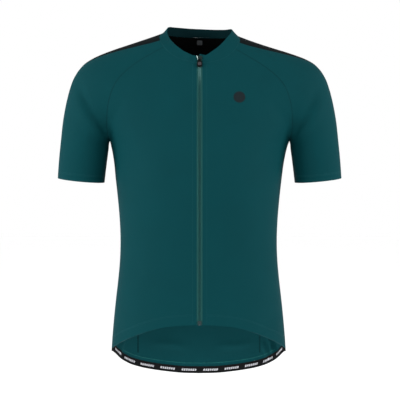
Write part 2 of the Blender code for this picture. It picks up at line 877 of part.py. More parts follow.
def build_collar(material):
    """Stand collar from the collar seam to its top edge, one strip open at the zip."""
    build_shell("collar", [collar_layers()], material)


def zip_line():
    """Columns beside the zip: inner face at two columns and the outward direction."""
    panel = cloth_layers(front_rows(), -1)
    shrink_sides(panel, top=True, bottom=False, near=False, far=False)
    collar = collar_layers()
    near = [np.concatenate([p[:-1, 0], c[:, 0]]) for p, c in zip(panel, collar)]
    far = np.concatenate([panel[1][:-1, 1], collar[1][:, 1]])
    seam = len(panel[0]) - 1
    near[1][seam] = (panel[1][-1, 0] + collar[1][0, 0]) / 2.0
    far[seam] = (panel[1][-1, 1] + collar[1][0, 1]) / 2.0
    normal = near[0] - near[1]
    normal[:, 0] = 0.0
    normal /= np.linalg.norm(normal, axis=-1, keepdims=True)
    return near[1], far, normal


def zip_strip(across, lift, first=0, start=0.0, above=0.0):
    """Points of a strip beside the zip, lifted from the inner face of the fronts."""
    near, far, normal = zip_line()
    near = near[first:] + normal[first:] * lift
    far = far[first:] + normal[first:] * lift
    near[0] += (near[1] - near[0]) * start
    far[0] += (far[1] - far[0]) * start
    if above > 0.0:
        near = np.concatenate([near, near[-1:] + (near[-1:] - near[-4:-3]) * above])
        far = np.concatenate([far, far[-1:] + (far[-1:] - far[-4:-3]) * above])
    columns = []
    for x in across:
        share = np.clip((x - near[:, 0]) / (far[:, 0] - near[:, 0]), 0.0, 1.0)
        column = near + (far - near) * share[:, None]
        column[:, 0] = x
        columns.append(column)
    return np.stack(columns, axis=1)


def build_zip_cloth(tape_finish, coil_finish, guard_finish):
    """Tapes behind the fronts, the two rows of the closed coil, and the guard."""
    tape = (ZIP_PART, ZIP_SLOT_HALF, TAPE_HALF_WIDTH)
    coil = (ZIP_PART, COIL_HALF_WIDTH)
    coil_foot = SEAM_GAP - TAPE_GAP
    coil_top = CLOTH_WALL + COIL_PROUD
    for name, mirror in (("left", False), ("right", True)):
        layers = [zip_strip(tape, lift, start=TAPE_START) for lift in (-TAPE_GAP, -TAPE_GAP - TAPE_WALL)]
        build_shell("zip_tape_" + name, [layers], tape_finish, mirror)
        layers = [zip_strip(coil, lift, first=1, start=COIL_START) for lift in (coil_top, coil_foot)]
        build_shell("zip_coil_" + name, [layers], coil_finish, mirror)
    reach = np.linspace(GUARD_REACH[0], GUARD_REACH[1], 4)
    depth = -TAPE_GAP - TAPE_WALL - LAYER_GAP
    rows = len(front_rows()) - 1
    layers = [
        zip_strip(reach, lift, first=rows, above=GUARD_ABOVE) for lift in (depth, depth - GUARD_WALL)
    ]
    build_shell("zip_guard", [layers], guard_finish)


def build_zip_stop(material):
    """Retainer box round the bottom of the coil."""
    across = (-STOP_HALF_WIDTH, STOP_HALF_WIDTH)
    layers = []
    for lift in (CLOTH_WALL + STOP_PROUD, SEAM_GAP - TAPE_GAP):
        strip = zip_strip(across, lift, start=TAPE_START)[:2]
        rise = strip[1] - strip[0]
        strip[1] = strip[0] + rise * STOP_LENGTH / np.linalg.norm(rise, axis=-1, keepdims=True)
        layers.append(strip)
    item = build_shell("zip_stop", [layers], material)
    round_edges(item, STOP_ROUNDING, 2)


def round_edges(item, width, segments):
    """Round the sharp edges of a hard piece."""
    bevel = item.modifiers.new("rounded_edges", "BEVEL")
    bevel.width = width
    bevel.segments = segments
    bevel.limit_method = "ANGLE"
    bevel.angle_limit = math.radians(40.0)


def slider_frame():
    """Frame on the zip's outer face: first axis across, second down the zip, third out from it."""
    near, _, normal = zip_line()
    heights = near[:, 2]
    at = np.array([np.interp(SLIDER_HEIGHT, heights, near[:, i]) for i in range(3)])
    out = np.array([np.interp(SLIDER_HEIGHT, heights, normal[:, i]) for i in range(3)])
    out /= np.linalg.norm(out)
    at[0] = 0.0
    across = np.array((-1.0, 0.0, 0.0))
    frame = Matrix.Identity(4)
    for column, axis in enumerate((across, np.cross(out, across), out, at + out * CLOTH_WALL)):
        frame.col[column][:3] = axis.tolist()
    return frame


def plate(outline, low, high):
    """A symmetric outline of (across, down) millimetres, extruded between two levels out."""
    half = [(across * MM, down * MM) for across, down in outline]
    ring = half + [(-across, down) for across, down in reversed(half)]
    work = bmesh.new()
    face = work.faces.new([work.verts.new((across, down, low)) for across, down in ring])
    raised = bmesh.ops.extrude_face_region(work, geom=[face])["geom"]
    corners = [item for item in raised if isinstance(item, bmesh.types.BMVert)]
    bmesh.ops.translate(work, verts=corners, vec=(0.0, 0.0, high - low))
    return work


def box(middle, size):
    """A box by its middle and its size (across, down, out)."""
    work = bmesh.new()
    bmesh.ops.create_cube(work, size=1.0, matrix=Matrix.Translation(middle) @ Matrix.Diagonal((*size, 1.0)))
    return work


def rod(middle, radius, length, sides):
    """A rod across the zip."""
    turn = Matrix.Rotation(math.radians(90.0), 4, "Y")
    work = bmesh.new()
    bmesh.ops.create_cone(
        work,
        cap_ends=True,
        segments=sides,
        radius1=radius,
        radius2=radius,
        depth=length,
        matrix=Matrix.Translation(middle) @ turn,
    )
    return work


def hard_piece(name, work, frame, material, cutter=False):
    """Object of a hard piece, or of a helper solid for it, standing in its frame."""
    mesh = bpy.data.meshes.new(name)
    work.to_mesh(mesh)
    work.free()
    item = finish_mesh(name, mesh, material)
    item.matrix_world = frame
    if cutter:
        garment.objects.unlink(item)
        cutters.objects.link(item)
        item.hide_render = True
        item.display_type = "WIRE"
    return item


def combine(item, other, operation):
    """Join a helper solid to a piece, or cut it away."""
    step = item.modifiers.new(operation.lower() + "_" + other.name, "BOOLEAN")
    step.operation = operation
    step.object = other
    step.solver = "EXACT"


def build_slider(material):
    """Slider plate with two lugs that carry the pin."""
    frame = slider_frame()
    slider = hard_piece("zip_slider", plate(SLIDER_OUTLINE, SLIDER_NEAR, SLIDER_FAR), frame, material)
    round_edges(slider, SLIDER_ROUNDING, 2)
    low = SLIDER_FAR - LUG_SUNK
    high = PIN_OUT + LUG_HALF_LENGTH
    size = (LUG_WIDTH, 2.0 * LUG_HALF_LENGTH, high - low)
    for name, sign in (("left", -1.0), ("right", 1.0)):
        middle = (sign * LUG_HALF_SPACING, PIN_DOWN, (low + high) / 2.0)
        lug = hard_piece("lug_" + name, box(middle, size), frame, material, cutter=True)
        round_edges(lug, LUG_ROUNDING, 2)
        combine(slider, lug, "UNION")
    length = 2.0 * LUG_HALF_SPACING + LUG_WIDTH + 2.0 * PIN_OVERHANG
    pin_mesh = rod((0.0, PIN_DOWN, PIN_OUT), PIN_RADIUS, length, 16)
    pin = hard_piece("pin", pin_mesh, frame, material, cutter=True)
    combine(slider, pin, "UNION")


def build_pull(material):
    """Pull tab with its eye round the pin; its own origin is on the pin's axis."""
    axis = slider_frame() @ Matrix.Translation((0.0, PIN_DOWN, PIN_OUT))
    swing = Matrix.Rotation(math.radians(90.0 - PULL_TILT), 4, "X")
    frame = Matrix.Translation(axis.translation) @ swing @ Matrix.Rotation(math.pi, 4, "Z")
    half = PULL_THICKNESS / 2.0
    pull = hard_piece("zip_pull", plate(PULL_OUTLINE, -half, half), frame, material)
    round_edges(pull, PULL_ROUNDING, 2)
    width = 2.0 * PULL_OUTLINE[0][0] * MM
    eye = hard_piece("eye", rod((0.0, 0.0, 0.0), PULL_EYE_RADIUS, width, 24), frame, material, cutter=True)
    hole = hard_piece(
        "hole", rod((0.0, 0.0, 0.0), PULL_HOLE_RADIUS, 2.0 * width, 24), frame, material, cutter=True
    )
    combine(pull, eye, "UNION")
    combine(pull, hole, "DIFFERENCE")


def build_all():
    """Every piece of the jersey."""
    knit = make_material("petrol_knit", PETROL, 0.75)
    black = make_material("black_knit", BLACK_KNIT, 0.75)
    elastic = make_material("black_elastic", BLACK_ELASTIC, 0.7)
    woven = make_material("zip_tape_green", ZIP_GREEN, 0.7)
    coil = make_material("zip_coil_green", ZIP_GREEN, 0.45)
    steel = make_material("slider_steel", STEEL, 0.3, 1.0)
    charcoal = make_material("pull_charcoal", CHARCOAL, 0.5)
    grey = make_material("stop_grey", STOP_GREY, 0.5)
    build_fronts(knit)
    build_back(knit)
    build_pocket(knit)
    build_sleeves(knit)
    build_shoulder_bands(black)
    build_collar(knit)
    build_hem_band(elastic)
    build_zip_cloth(woven, coil, knit)
    build_zip_stop(grey)
    build_slider(steel)
    build_pull(charcoal)


empty_scene()
garment = bpy.data.collections.new("cycling_jersey")
cutters = bpy.data.collections.new("cutters")
bpy.context.scene.collection.children.link(garment)
bpy.context.scene.collection.children.link(cutters)
build_all()
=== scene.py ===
"""Looks of a short-sleeved cycling jersey, filled out with no wearer.

Metres, +Z up, +X to the wearer's left, front towards -Y. Every cloth piece is a
thin shell on the jersey's closed form, at a finer spacing than its solid, with
listed folds, seams, hems, stitches and the coil of the zip.
"""

import logging
import math
from dataclasses import dataclass
from enum import Enum

import bmesh
import bpy
import numpy as np
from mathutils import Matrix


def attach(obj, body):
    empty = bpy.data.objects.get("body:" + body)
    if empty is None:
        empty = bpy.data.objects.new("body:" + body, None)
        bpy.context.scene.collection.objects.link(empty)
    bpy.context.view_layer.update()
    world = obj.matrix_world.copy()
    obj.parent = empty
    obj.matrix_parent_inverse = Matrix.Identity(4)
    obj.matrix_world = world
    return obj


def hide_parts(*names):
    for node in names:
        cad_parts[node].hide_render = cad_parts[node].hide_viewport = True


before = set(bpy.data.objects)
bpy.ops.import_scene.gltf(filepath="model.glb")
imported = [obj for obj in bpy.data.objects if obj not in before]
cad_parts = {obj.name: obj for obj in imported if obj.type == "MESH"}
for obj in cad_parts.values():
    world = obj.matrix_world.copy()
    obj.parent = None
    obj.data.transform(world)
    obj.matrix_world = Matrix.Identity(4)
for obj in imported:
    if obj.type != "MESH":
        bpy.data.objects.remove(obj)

LOG = logging.getLogger("jersey")
Table = tuple[tuple[float, ...], ...]
Line = tuple[np.ndarray, np.ndarray]  # points, and the outward direction at each

MM = 0.001
FULL_TURN = 2.0 * math.pi
ROOT_BODY = "jersey"
TAB_BODY = "pull_tab"
CLOTH_WALL = 1.4 * MM
FINE_STEPS = 400  # samples of a smooth line before even points are taken from it


class Side(Enum):
    """Half of the jersey in depth."""

    FRONT = -1
    BACK = 1


class Flank(Enum):
    """Wearer's side."""

    LEFT = 1
    RIGHT = -1


FRONT, BACK = Side.FRONT, Side.BACK

# Outer line of shoulders and sleeves: height, half width (mm).
OUTLINE = (
    (35.0, 0.0), (20.0, 40.0), (4.7, 81.0), (-1.3, 97.0), (-8.4, 117.2), (-15.5, 138.5),
    (-22.4, 159.8), (-29.2, 181.1), (-36.7, 202.4), (-45.4, 223.7), (-55.5, 241.5),
    (-67.3, 254.0), (-86.0, 266.6), (-110.5, 276.0), (-134.0, 282.2), (-176.6, 290.3),
    (-219.2, 295.1), (-261.8, 299.3), (-300.0, 302.0), (-330.0, 303.5),
)
# How far the trunk stays inside the outline above the armpit: height, tuck (mm).
TRUNK_TUCK = (
    (35.0, 0.0), (-40.0, 0.0), (-60.0, 0.0), (-75.0, 0.4), (-90.0, 3.2), (-110.0, 13.0),
    (-130.0, 33.0), (-150.0, 54.5), (-170.0, 73.5), (-190.0, 88.0), (-203.0, 95.2),
    (-220.9, 104.1), (-235.0, 110.0),
)
# Side line of the trunk below the armpit: height, half width (mm).
SIDE_LINE = (
    (-205.0, 198.0), (-220.9, 191.1), (-240.5, 185.6), (-261.8, 181.5), (-304.4, 176.3),
    (-347.0, 171.6), (-389.6, 168.0), (-432.2, 166.4), (-474.8, 167.6), (-517.4, 171.4),
    (-560.1, 176.3), (-602.7, 180.6), (-645.3, 184.1), (-670.0, 185.6), (-740.0, 187.0),
)
# Trunk: height, front depth, back depth (mm), squareness of the section.
TRUNK = (
    (35.0, 0.0, 0.0, 2.0), (20.0, 25.8, 47.4, 2.0), (6.0, 36.0, 66.0, 2.0),
    (-27.0, 52.5, 84.0, 2.1), (-63.0, 67.0, 97.0, 2.3), (-100.0, 84.0, 107.0, 2.6),
    (-150.0, 101.0, 115.0, 2.9), (-200.0, 113.0, 118.0, 2.8), (-250.0, 120.0, 117.5, 2.6),
    (-300.0, 120.5, 113.5, 2.5), (-350.0, 117.0, 107.0, 2.5), (-400.0, 113.0, 102.0, 2.5),
    (-450.0, 110.5, 101.0, 2.5), (-500.0, 110.5, 105.0, 2.5), (-550.0, 113.0, 112.0, 2.4),
    (-600.0, 116.0, 118.0, 2.4), (-660.0, 118.0, 122.0, 2.3), (-740.0, 119.0, 123.0, 2.3),
)
# Arm: height, inner line, front depth, back depth (mm).
ARM = (
    (35.0, 0.0, 0.0, 0.0), (-10.0, 60.0, 3.0, 3.0), (-30.0, 95.0, 20.0, 22.0),
    (-50.0, 108.0, 36.0, 40.0), (-70.0, 117.0, 48.0, 52.0), (-90.0, 124.0, 57.0, 60.0),
    (-110.0, 131.0, 62.0, 65.0), (-130.0, 139.0, 65.0, 67.0), (-150.0, 147.0, 66.0, 68.0),
    (-170.0, 157.0, 65.5, 67.5), (-190.0, 169.0, 64.0, 66.0), (-203.0, 178.5, 62.5, 64.5),
    (-220.9, 191.1, 60.5, 62.5), (-240.0, 194.0, 58.5, 60.0), (-260.0, 196.6, 56.5, 58.0),
    (-300.0, 201.4, 53.5, 54.5), (-330.0, 204.5, 52.0, 53.0),
)
# Seams and lower edges in the front view: across, height (mm).
NECK_FRONT = (
    (6.0, -63.2), (18.0, -61.2), (32.0, -57.8), (50.0, -51.0), (66.0, -39.8), (76.5, -28.5),
)
NECK_SHOULDER = ((76.5, -28.5), (82.5, -18.5), (85.2, -10.0), (84.6, -2.0), (81.0, 4.7))
NECK_SIDE_BACK = ((81.0, 4.7), (72.0, 5.2), (60.0, 5.6), (46.0, 5.9))
NECK_BACK = ((46.0, 5.9), (30.0, 6.0), (14.0, 6.0), (0.0, 6.0))
RAGLAN_FRONT = (
    (191.1, -220.9), (193.5, -205.0), (193.0, -165.0), (187.5, -135.0), (175.0, -104.0),
    (152.0, -78.0), (125.0, -57.5), (98.0, -41.0), (76.5, -28.5),
)
RAGLAN_BACK = (
    (191.1, -220.9), (192.0, -203.0), (187.0, -165.0), (174.0, -126.0), (152.0, -89.0),
    (123.0, -53.0), (92.0, -24.0), (66.0, -5.5), (46.0, 5.9),
)
FRONT_HEM = (
    (0.0, -604.0), (30.0, -604.8), (50.0, -606.5), (74.0, -609.6), (102.0, -617.0),
    (130.0, -627.5), (156.0, -640.0), (172.0, -649.5), (186.0, -661.2),
)
BACK_HEM = (
    (0.0, -715.0), (40.0, -713.8), (72.0, -710.0), (105.0, -704.2), (132.0, -697.0),
    (155.0, -686.5), (170.0, -675.0), (186.0, -653.7),
)
# Half width of the shoulder inserts in plan: across, half width (mm).
SHOULDER_BAND = (
    (60.0, 34.5), (81.0, 35.4), (107.0, 35.7), (130.0, 34.0), (150.0, 32.5), (170.0, 30.0),
    (192.0, 27.0), (210.0, 24.0), (225.0, 20.5), (240.0, 14.5), (250.0, 7.0), (257.0, 0.0),
    (310.0, 0.0),
)
# Top edge of the collar: angle from the zip (degrees), height (mm).
COLLAR_TOP = (
    (0.0, -46.8), (11.0, -44.8), (25.0, -38.0), (41.0, -26.5), (63.0, -9.0), (80.0, 6.5),
    (90.0, 13.5), (100.0, 18.5), (112.0, 22.0), (130.0, 23.6), (180.0, 24.2),
)
# How much higher the collar's edge stands on the wearer's left: angle, rise (mm).
COLLAR_RISE = (
    (0.0, 0.0), (11.0, 1.5), (24.0, 5.6), (40.0, 9.0), (52.0, 11.7), (65.0, 11.6), (80.0, 8.0),
    (95.0, 3.0), (110.0, 0.0), (180.0, 0.0),
)
# Soft ripples of the collar: angle from the zip, breadth (degrees), rise (mm).
COLLAR_RIPPLES = (
    (13.0, 4.0, -1.1), (21.0, 5.0, 0.8), (38.0, 6.0, -0.9), (63.0, 9.0, 0.7), (97.0, 10.0, -0.9),
    (141.0, 12.0, 0.7), (-12.0, 3.5, -1.4), (-19.0, 4.0, 1.0), (-29.0, 5.0, -1.0),
    (-52.0, 8.0, 0.6), (-84.0, 9.0, -0.8), (-118.0, 13.0, 0.9), (-163.0, 12.0, -0.6),
)


def srgb(code: str) -> tuple[float, float, float, float]:
    """Linear colour of an sRGB hex code.

    Args:
        code: Hex code with its leading sign.

    Returns:
        Linear red, green, blue and an alpha of one.
    """
    parts = [int(code[i : i + 2], 16) / 255.0 for i in (1, 3, 5)]
    linear = [c / 12.92 if c <= 0.04045 else ((c + 0.055) / 1.055) ** 2.4 for c in parts]
    return (*linear, 1.0)


def unit(vectors: np.ndarray) -> np.ndarray:
    """Vectors at a length of one, along the last axis."""
    return vectors / np.linalg.norm(vectors, axis=-1, keepdims=True)


def travelled(line: np.ndarray) -> np.ndarray:
    """Distance from the start of a polyline to each of its points."""
    return np.concatenate([[0.0], np.cumsum(np.linalg.norm(np.diff(line, axis=0), axis=1))])


def look_up(where: np.ndarray | float, knots: np.ndarray, table: np.ndarray) -> np.ndarray:
    """Rows of a table at some places, on straight lines between its rows.

    Args:
        where: Places, in any grid.
        knots: Place of each row of the table, rising.
        table: Rows of values.

    Returns:
        A row of values for each place, along a new last axis.
    """
    return np.stack([np.interp(where, knots, column) for column in table.T], axis=-1)


@dataclass(frozen=True)
class Curve:
    """Smooth curve through a short table.

    Between two knots the value is the straight line plus t(1-t) times a mix of the
    two bends, which gives each knot the slope of its neighbours.
    """

    knots: np.ndarray
    values: np.ndarray

    @classmethod
    def of(cls, rows: Table, column: int = 1, scale: float = MM) -> "Curve":
        """Curve of one column of a table in millimetres against its first column.

        Args:
            rows: The table.
            column: The column.
            scale: Size of the column's unit.

        Returns:
            The curve.
        """
        data = np.array(sorted(rows), dtype=float)
        return cls(data[:, 0] * MM, data[:, column] * scale)

    def at(self, place: np.ndarray) -> np.ndarray:
        """Values of the curve.

        Args:
            place: Where, in any grid; places past the ends take the end's value.

        Returns:
            The value at each place.
        """
        slopes = np.gradient(self.values, self.knots)
        index = np.clip(np.searchsorted(self.knots, place) - 1, 0, len(self.knots) - 2)
        step = self.knots[index + 1] - self.knots[index]
        t = np.clip((place - self.knots[index]) / step, 0.0, 1.0)
        rise = self.values[index + 1] - self.values[index]
        low = step * slopes[index] - rise
        high = rise - step * slopes[index + 1]
        return self.values[index] + rise * t + t * (1.0 - t) * (low * (1.0 - t) + high * t)


def even_points(line: np.ndarray, count: int) -> np.ndarray:
    """Points at even distances along a fine polyline.

    Args:
        line: Points of the polyline, of any dimension.
        count: Number of steps.

    Returns:
        The count + 1 points.
    """
    far = travelled(line)
    return look_up(np.linspace(0.0, far[-1], count + 1), far, line)


def walk(points: Table, count: int) -> np.ndarray:
    """Points at even distances along a smooth curve through a short table.

    Args:
        points: The table, in millimetres.
        count: Number of steps.

    Returns:
        The count + 1 points, in metres.
    """
    table = np.array(points, dtype=float) * MM
    knots = travelled(table)
    fine = np.linspace(0.0, knots[-1], FINE_STEPS)
    return even_points(np.stack([Curve(knots, v).at(fine) for v in table.T], axis=1), count)


@dataclass(frozen=True)
class Fold:
    """Soft fold in the cloth: a ridge where rise is positive, else a trough.

    Its height is rise * exp(-(c/breadth)^2) * exp(-(2a-1)^4) at a share a along the
    line and a clearance c from it; bow bends the line sideways. Sizes are in
    millimetres.
    """

    side: Side
    start: tuple[float, float]
    end: tuple[float, float]
    breadth: float
    rise: float
    bow: float = 0.0

    def height(self, across: np.ndarray, level: np.ndarray) -> np.ndarray:
        """Height of the fold at points of the front view.

        Args:
            across: Distance of each point to the wearer's left, in metres.
            level: Height of each point, in metres.

        Returns:
            How far the fold lifts the cloth at each point, in metres.
        """
        run = (np.array(self.end) - np.array(self.start)) * MM
        length = float(np.hypot(*run))
        dx = across - self.start[0] * MM
        dz = level - self.start[1] * MM
        along = (dx * run[0] + dz * run[1]) / length**2
        inside = np.clip(along, 0.0, 1.0)
        clear = (dx * run[1] - dz * run[0]) / length - self.bow * MM * 4.0 * inside * (1.0 - inside)
        profile = np.exp(-((clear / (self.breadth * MM)) ** 2))
        return self.rise * MM * profile * np.exp(-((2.0 * along - 1.0) ** 4))


# Folds in their places: side, start and end (across, height), breadth, rise, bow (mm).
FOLDS = (
    Fold(FRONT, (203.0, -196.0), (246.0, -122.0), 10.0, -5.0, 3.0),
    Fold(FRONT, (217.0, -207.0), (258.0, -150.0), 12.0, 2.6),
    Fold(FRONT, (199.0, -212.0), (226.0, -176.0), 5.0, -2.6, -2.0),
    Fold(FRONT, (168.0, -222.0), (124.0, -296.0), 24.0, -2.6),
    Fold(FRONT, (182.0, -190.0), (150.0, -150.0), 11.0, -1.6, 3.0),
    Fold(FRONT, (148.0, -524.0), (92.0, -600.0), 28.0, 2.0),
    Fold(FRONT, (166.0, -585.0), (128.0, -618.0), 8.0, -1.5, 2.0),
    Fold(FRONT, (-202.0, -194.0), (-252.0, -112.0), 9.0, -5.4, -4.0),
    Fold(FRONT, (-214.0, -208.0), (-262.0, -140.0), 14.0, 3.2),
    Fold(FRONT, (-197.0, -210.0), (-216.0, -184.0), 5.0, -2.2, 2.0),
    Fold(FRONT, (-168.0, -222.0), (-116.0, -306.0), 26.0, -3.2),
    Fold(FRONT, (-184.0, -196.0), (-158.0, -142.0), 9.0, -1.3, -3.0),
    Fold(FRONT, (-152.0, -516.0), (-100.0, -604.0), 31.0, 2.4),
    Fold(FRONT, (-158.0, -470.0), (-118.0, -500.0), 14.0, -1.4),
    Fold(BACK, (200.0, -196.0), (240.0, -116.0), 14.0, -5.0, 3.0),
    Fold(BACK, (172.0, -200.0), (96.0, -246.0), 22.0, -4.2),
    Fold(BACK, (166.0, -236.0), (110.0, -284.0), 13.0, -2.4, 4.0),
    Fold(BACK, (150.0, -360.0), (60.0, -402.0), 24.0, -3.0),
    Fold(BACK, (150.0, -410.0), (74.0, -440.0), 20.0, 2.4),
    Fold(BACK, (146.0, -448.0), (92.0, -462.0), 9.0, -1.8, -3.0),
    Fold(BACK, (141.0, -656.0), (157.0, -694.0), 3.4, -4.0, 1.0),
    Fold(BACK, (150.0, -634.0), (163.0, -684.0), 3.4, -4.6, -2.0),
    Fold(BACK, (158.0, -632.0), (171.0, -674.0), 3.8, 3.6, 1.0),
    Fold(BACK, (40.0, -668.0), (112.0, -662.0), 6.0, -1.2, 3.0),
    Fold(BACK, (-198.0, -194.0), (-244.0, -120.0), 16.0, -4.6, -4.0),
    Fold(BACK, (-172.0, -204.0), (-88.0, -240.0), 25.0, -4.8),
    Fold(BACK, (-158.0, -246.0), (-122.0, -272.0), 11.0, -1.9, -3.0),
    Fold(BACK, (-150.0, -356.0), (-70.0, -408.0), 27.0, -3.2),
    Fold(BACK, (-152.0, -414.0), (-66.0, -436.0), 23.0, 2.6),
    Fold(BACK, (-140.0, -452.0), (-60.0, -470.0), 11.0, -2.0, 4.0),
    Fold(BACK, (-164.0, -640.0), (-173.0, -678.0), 3.6, -4.4, -1.0),
    Fold(BACK, (-104.0, -664.0), (-30.0, -672.0), 7.0, -1.1, -3.0),
)


@dataclass(frozen=True)
class JerseyForm:
    """Closed form of the cloth.

    Half depth squared at (x, z) is (T^3 + A^3)^(1/3), where the trunk's lobe is
    T = depth^2 (1 - |x/w|^n) and the arm's is A = depth^2 (1 - ((|x| - m)/h)^2),
    and the face is at y = -sqrt in front and +sqrt behind.
    """

    armpit: float = -220.9 * MM
    arm_end: float = -340.0 * MM
    probe: float = 0.2 * MM  # step of the slopes
    fold_depth: float = 40.0 * MM  # half depth from which folds have their full height
    uneven: float = 2.8 * MM  # drop of one shoulder and rise of the other
    shoulder_span: float = 260.0 * MM
    still_level: float = -200.0 * MM  # below it only the trunk's lean, above it only the shoulders'
    shoulder_fade: float = 150.0 * MM
    lean: float = 2.0 * MM  # how far the sides of the trunk go to the wearer's right
    lean_fade: float = 100.0 * MM
    lean_half: float = 150.0 * MM
    trunk_half: float = 189.0 * MM

    def outline(self, level: np.ndarray) -> np.ndarray:
        """Half width of the outer line."""
        return Curve.of(OUTLINE).at(level)

    def trunk_width(self, level: np.ndarray) -> np.ndarray:
        """Half width of the trunk at some heights.

        Args:
            level: Heights.

        Returns:
            The half width at each.
        """
        tuck = np.maximum(Curve.of(TRUNK_TUCK).at(level), 0.0)
        lower = Curve.of(SIDE_LINE).at(level)
        return np.where(level > self.armpit, self.outline(level) - tuck, lower)

    def reach(self, table: Table, column: int, level: np.ndarray) -> np.ndarray:
        """Square of a depth in a table, made smooth as a square.

        Args:
            table: Table of the trunk or the arm.
            column: Its column.
            level: Heights.

        Returns:
            The square at each height.
        """
        depth = Curve.of(table, column)
        return Curve(depth.knots, depth.values**2).at(level)

    def depth_squared(self, across: np.ndarray, level: np.ndarray, side: Side) -> np.ndarray:
        """Half depth squared.

        Args:
            across: Distance of each point to the wearer's left.
            level: Height of each point.
            side: Front or back.

        Returns:
            The square at each point, negative outside the outline.
        """
        column = 1 if side is FRONT else 2
        away = np.abs(across)
        power = Curve.of(TRUNK, 3, 1.0).at(level)
        trunk = self.reach(TRUNK, column, level) * (1.0 - (away / self.trunk_width(level)) ** power)
        inner, outer = Curve.of(ARM).at(level), self.outline(level)
        middle, half = (inner + outer) / 2.0, (outer - inner) / 2.0
        arm = self.reach(ARM, column + 1, level) * (1.0 - ((away - middle) / half) ** 2)
        arm = np.where(level < self.arm_end, -1.0, arm)
        joined = np.maximum(trunk, 0.0) ** 3 + np.maximum(arm, 0.0) ** 3
        best = np.maximum(trunk, arm)
        return np.where(best < 0.0, best, np.cbrt(joined))

    def depth(self, across: np.ndarray, level: np.ndarray, side: Side) -> np.ndarray:
        """Half depth, nought outside the outline."""
        return np.sqrt(np.maximum(self.depth_squared(across, level, side), 0.0))

    def skin(self, view: np.ndarray, side: Side) -> Line:
        """Outer face and outward direction at points of the front view.

        Args:
            view: Points (across, level), in any grid.
            side: Front or back of the form.

        Returns:
            The points on the face with their folds, and the outward directions.
        """
        across, level = view[..., 0], view[..., 1]
        depth = self.depth(across, level, side)
        slopes = []
        for dx, dz in ((self.probe, 0.0), (0.0, self.probe)):
            after = self.depth_squared(across + dx, level + dz, side)
            before = self.depth_squared(across - dx, level - dz, side)
            slopes.append((after - before) / (2 * self.probe))
        normal = unit(np.stack([-slopes[0], 2.0 * side.value * depth, -slopes[1]], axis=-1))
        rise = sum(fold.height(across, level) for fold in FOLDS if fold.side is side)
        rise = rise * np.clip(depth / self.fold_depth, 0.0, 1.0) ** 2
        point = np.stack([across, side.value * depth, level], axis=-1)
        return point + normal * rise[..., None], normal

    def settle(self, points: np.ndarray) -> np.ndarray:
        """Let the shoulders hang a little unevenly and the trunk lean.

        Args:
            points: Points, in any grid.

        Returns:
            The points, moved.
        """
        across, level = points[..., 0], points[..., 2]
        above = level - self.still_level
        high = np.clip(above / self.shoulder_fade, 0.0, 1.0)
        high = high * high * (3.0 - 2.0 * high)
        swing = np.sin(np.pi * np.clip(np.abs(across) / self.shoulder_span, 0.0, 1.0))
        low = np.clip(-above / self.lean_fade, 0.0, 1.0) * (np.abs(across) < self.trunk_half)
        moved = points.copy()
        moved[..., 2] -= self.uneven * swing * high * np.sign(across)
        moved[..., 0] -= self.lean * np.clip(np.abs(across) / self.lean_half, 0.0, 1.0) ** 2 * low
        return moved


FORM = JerseyForm()


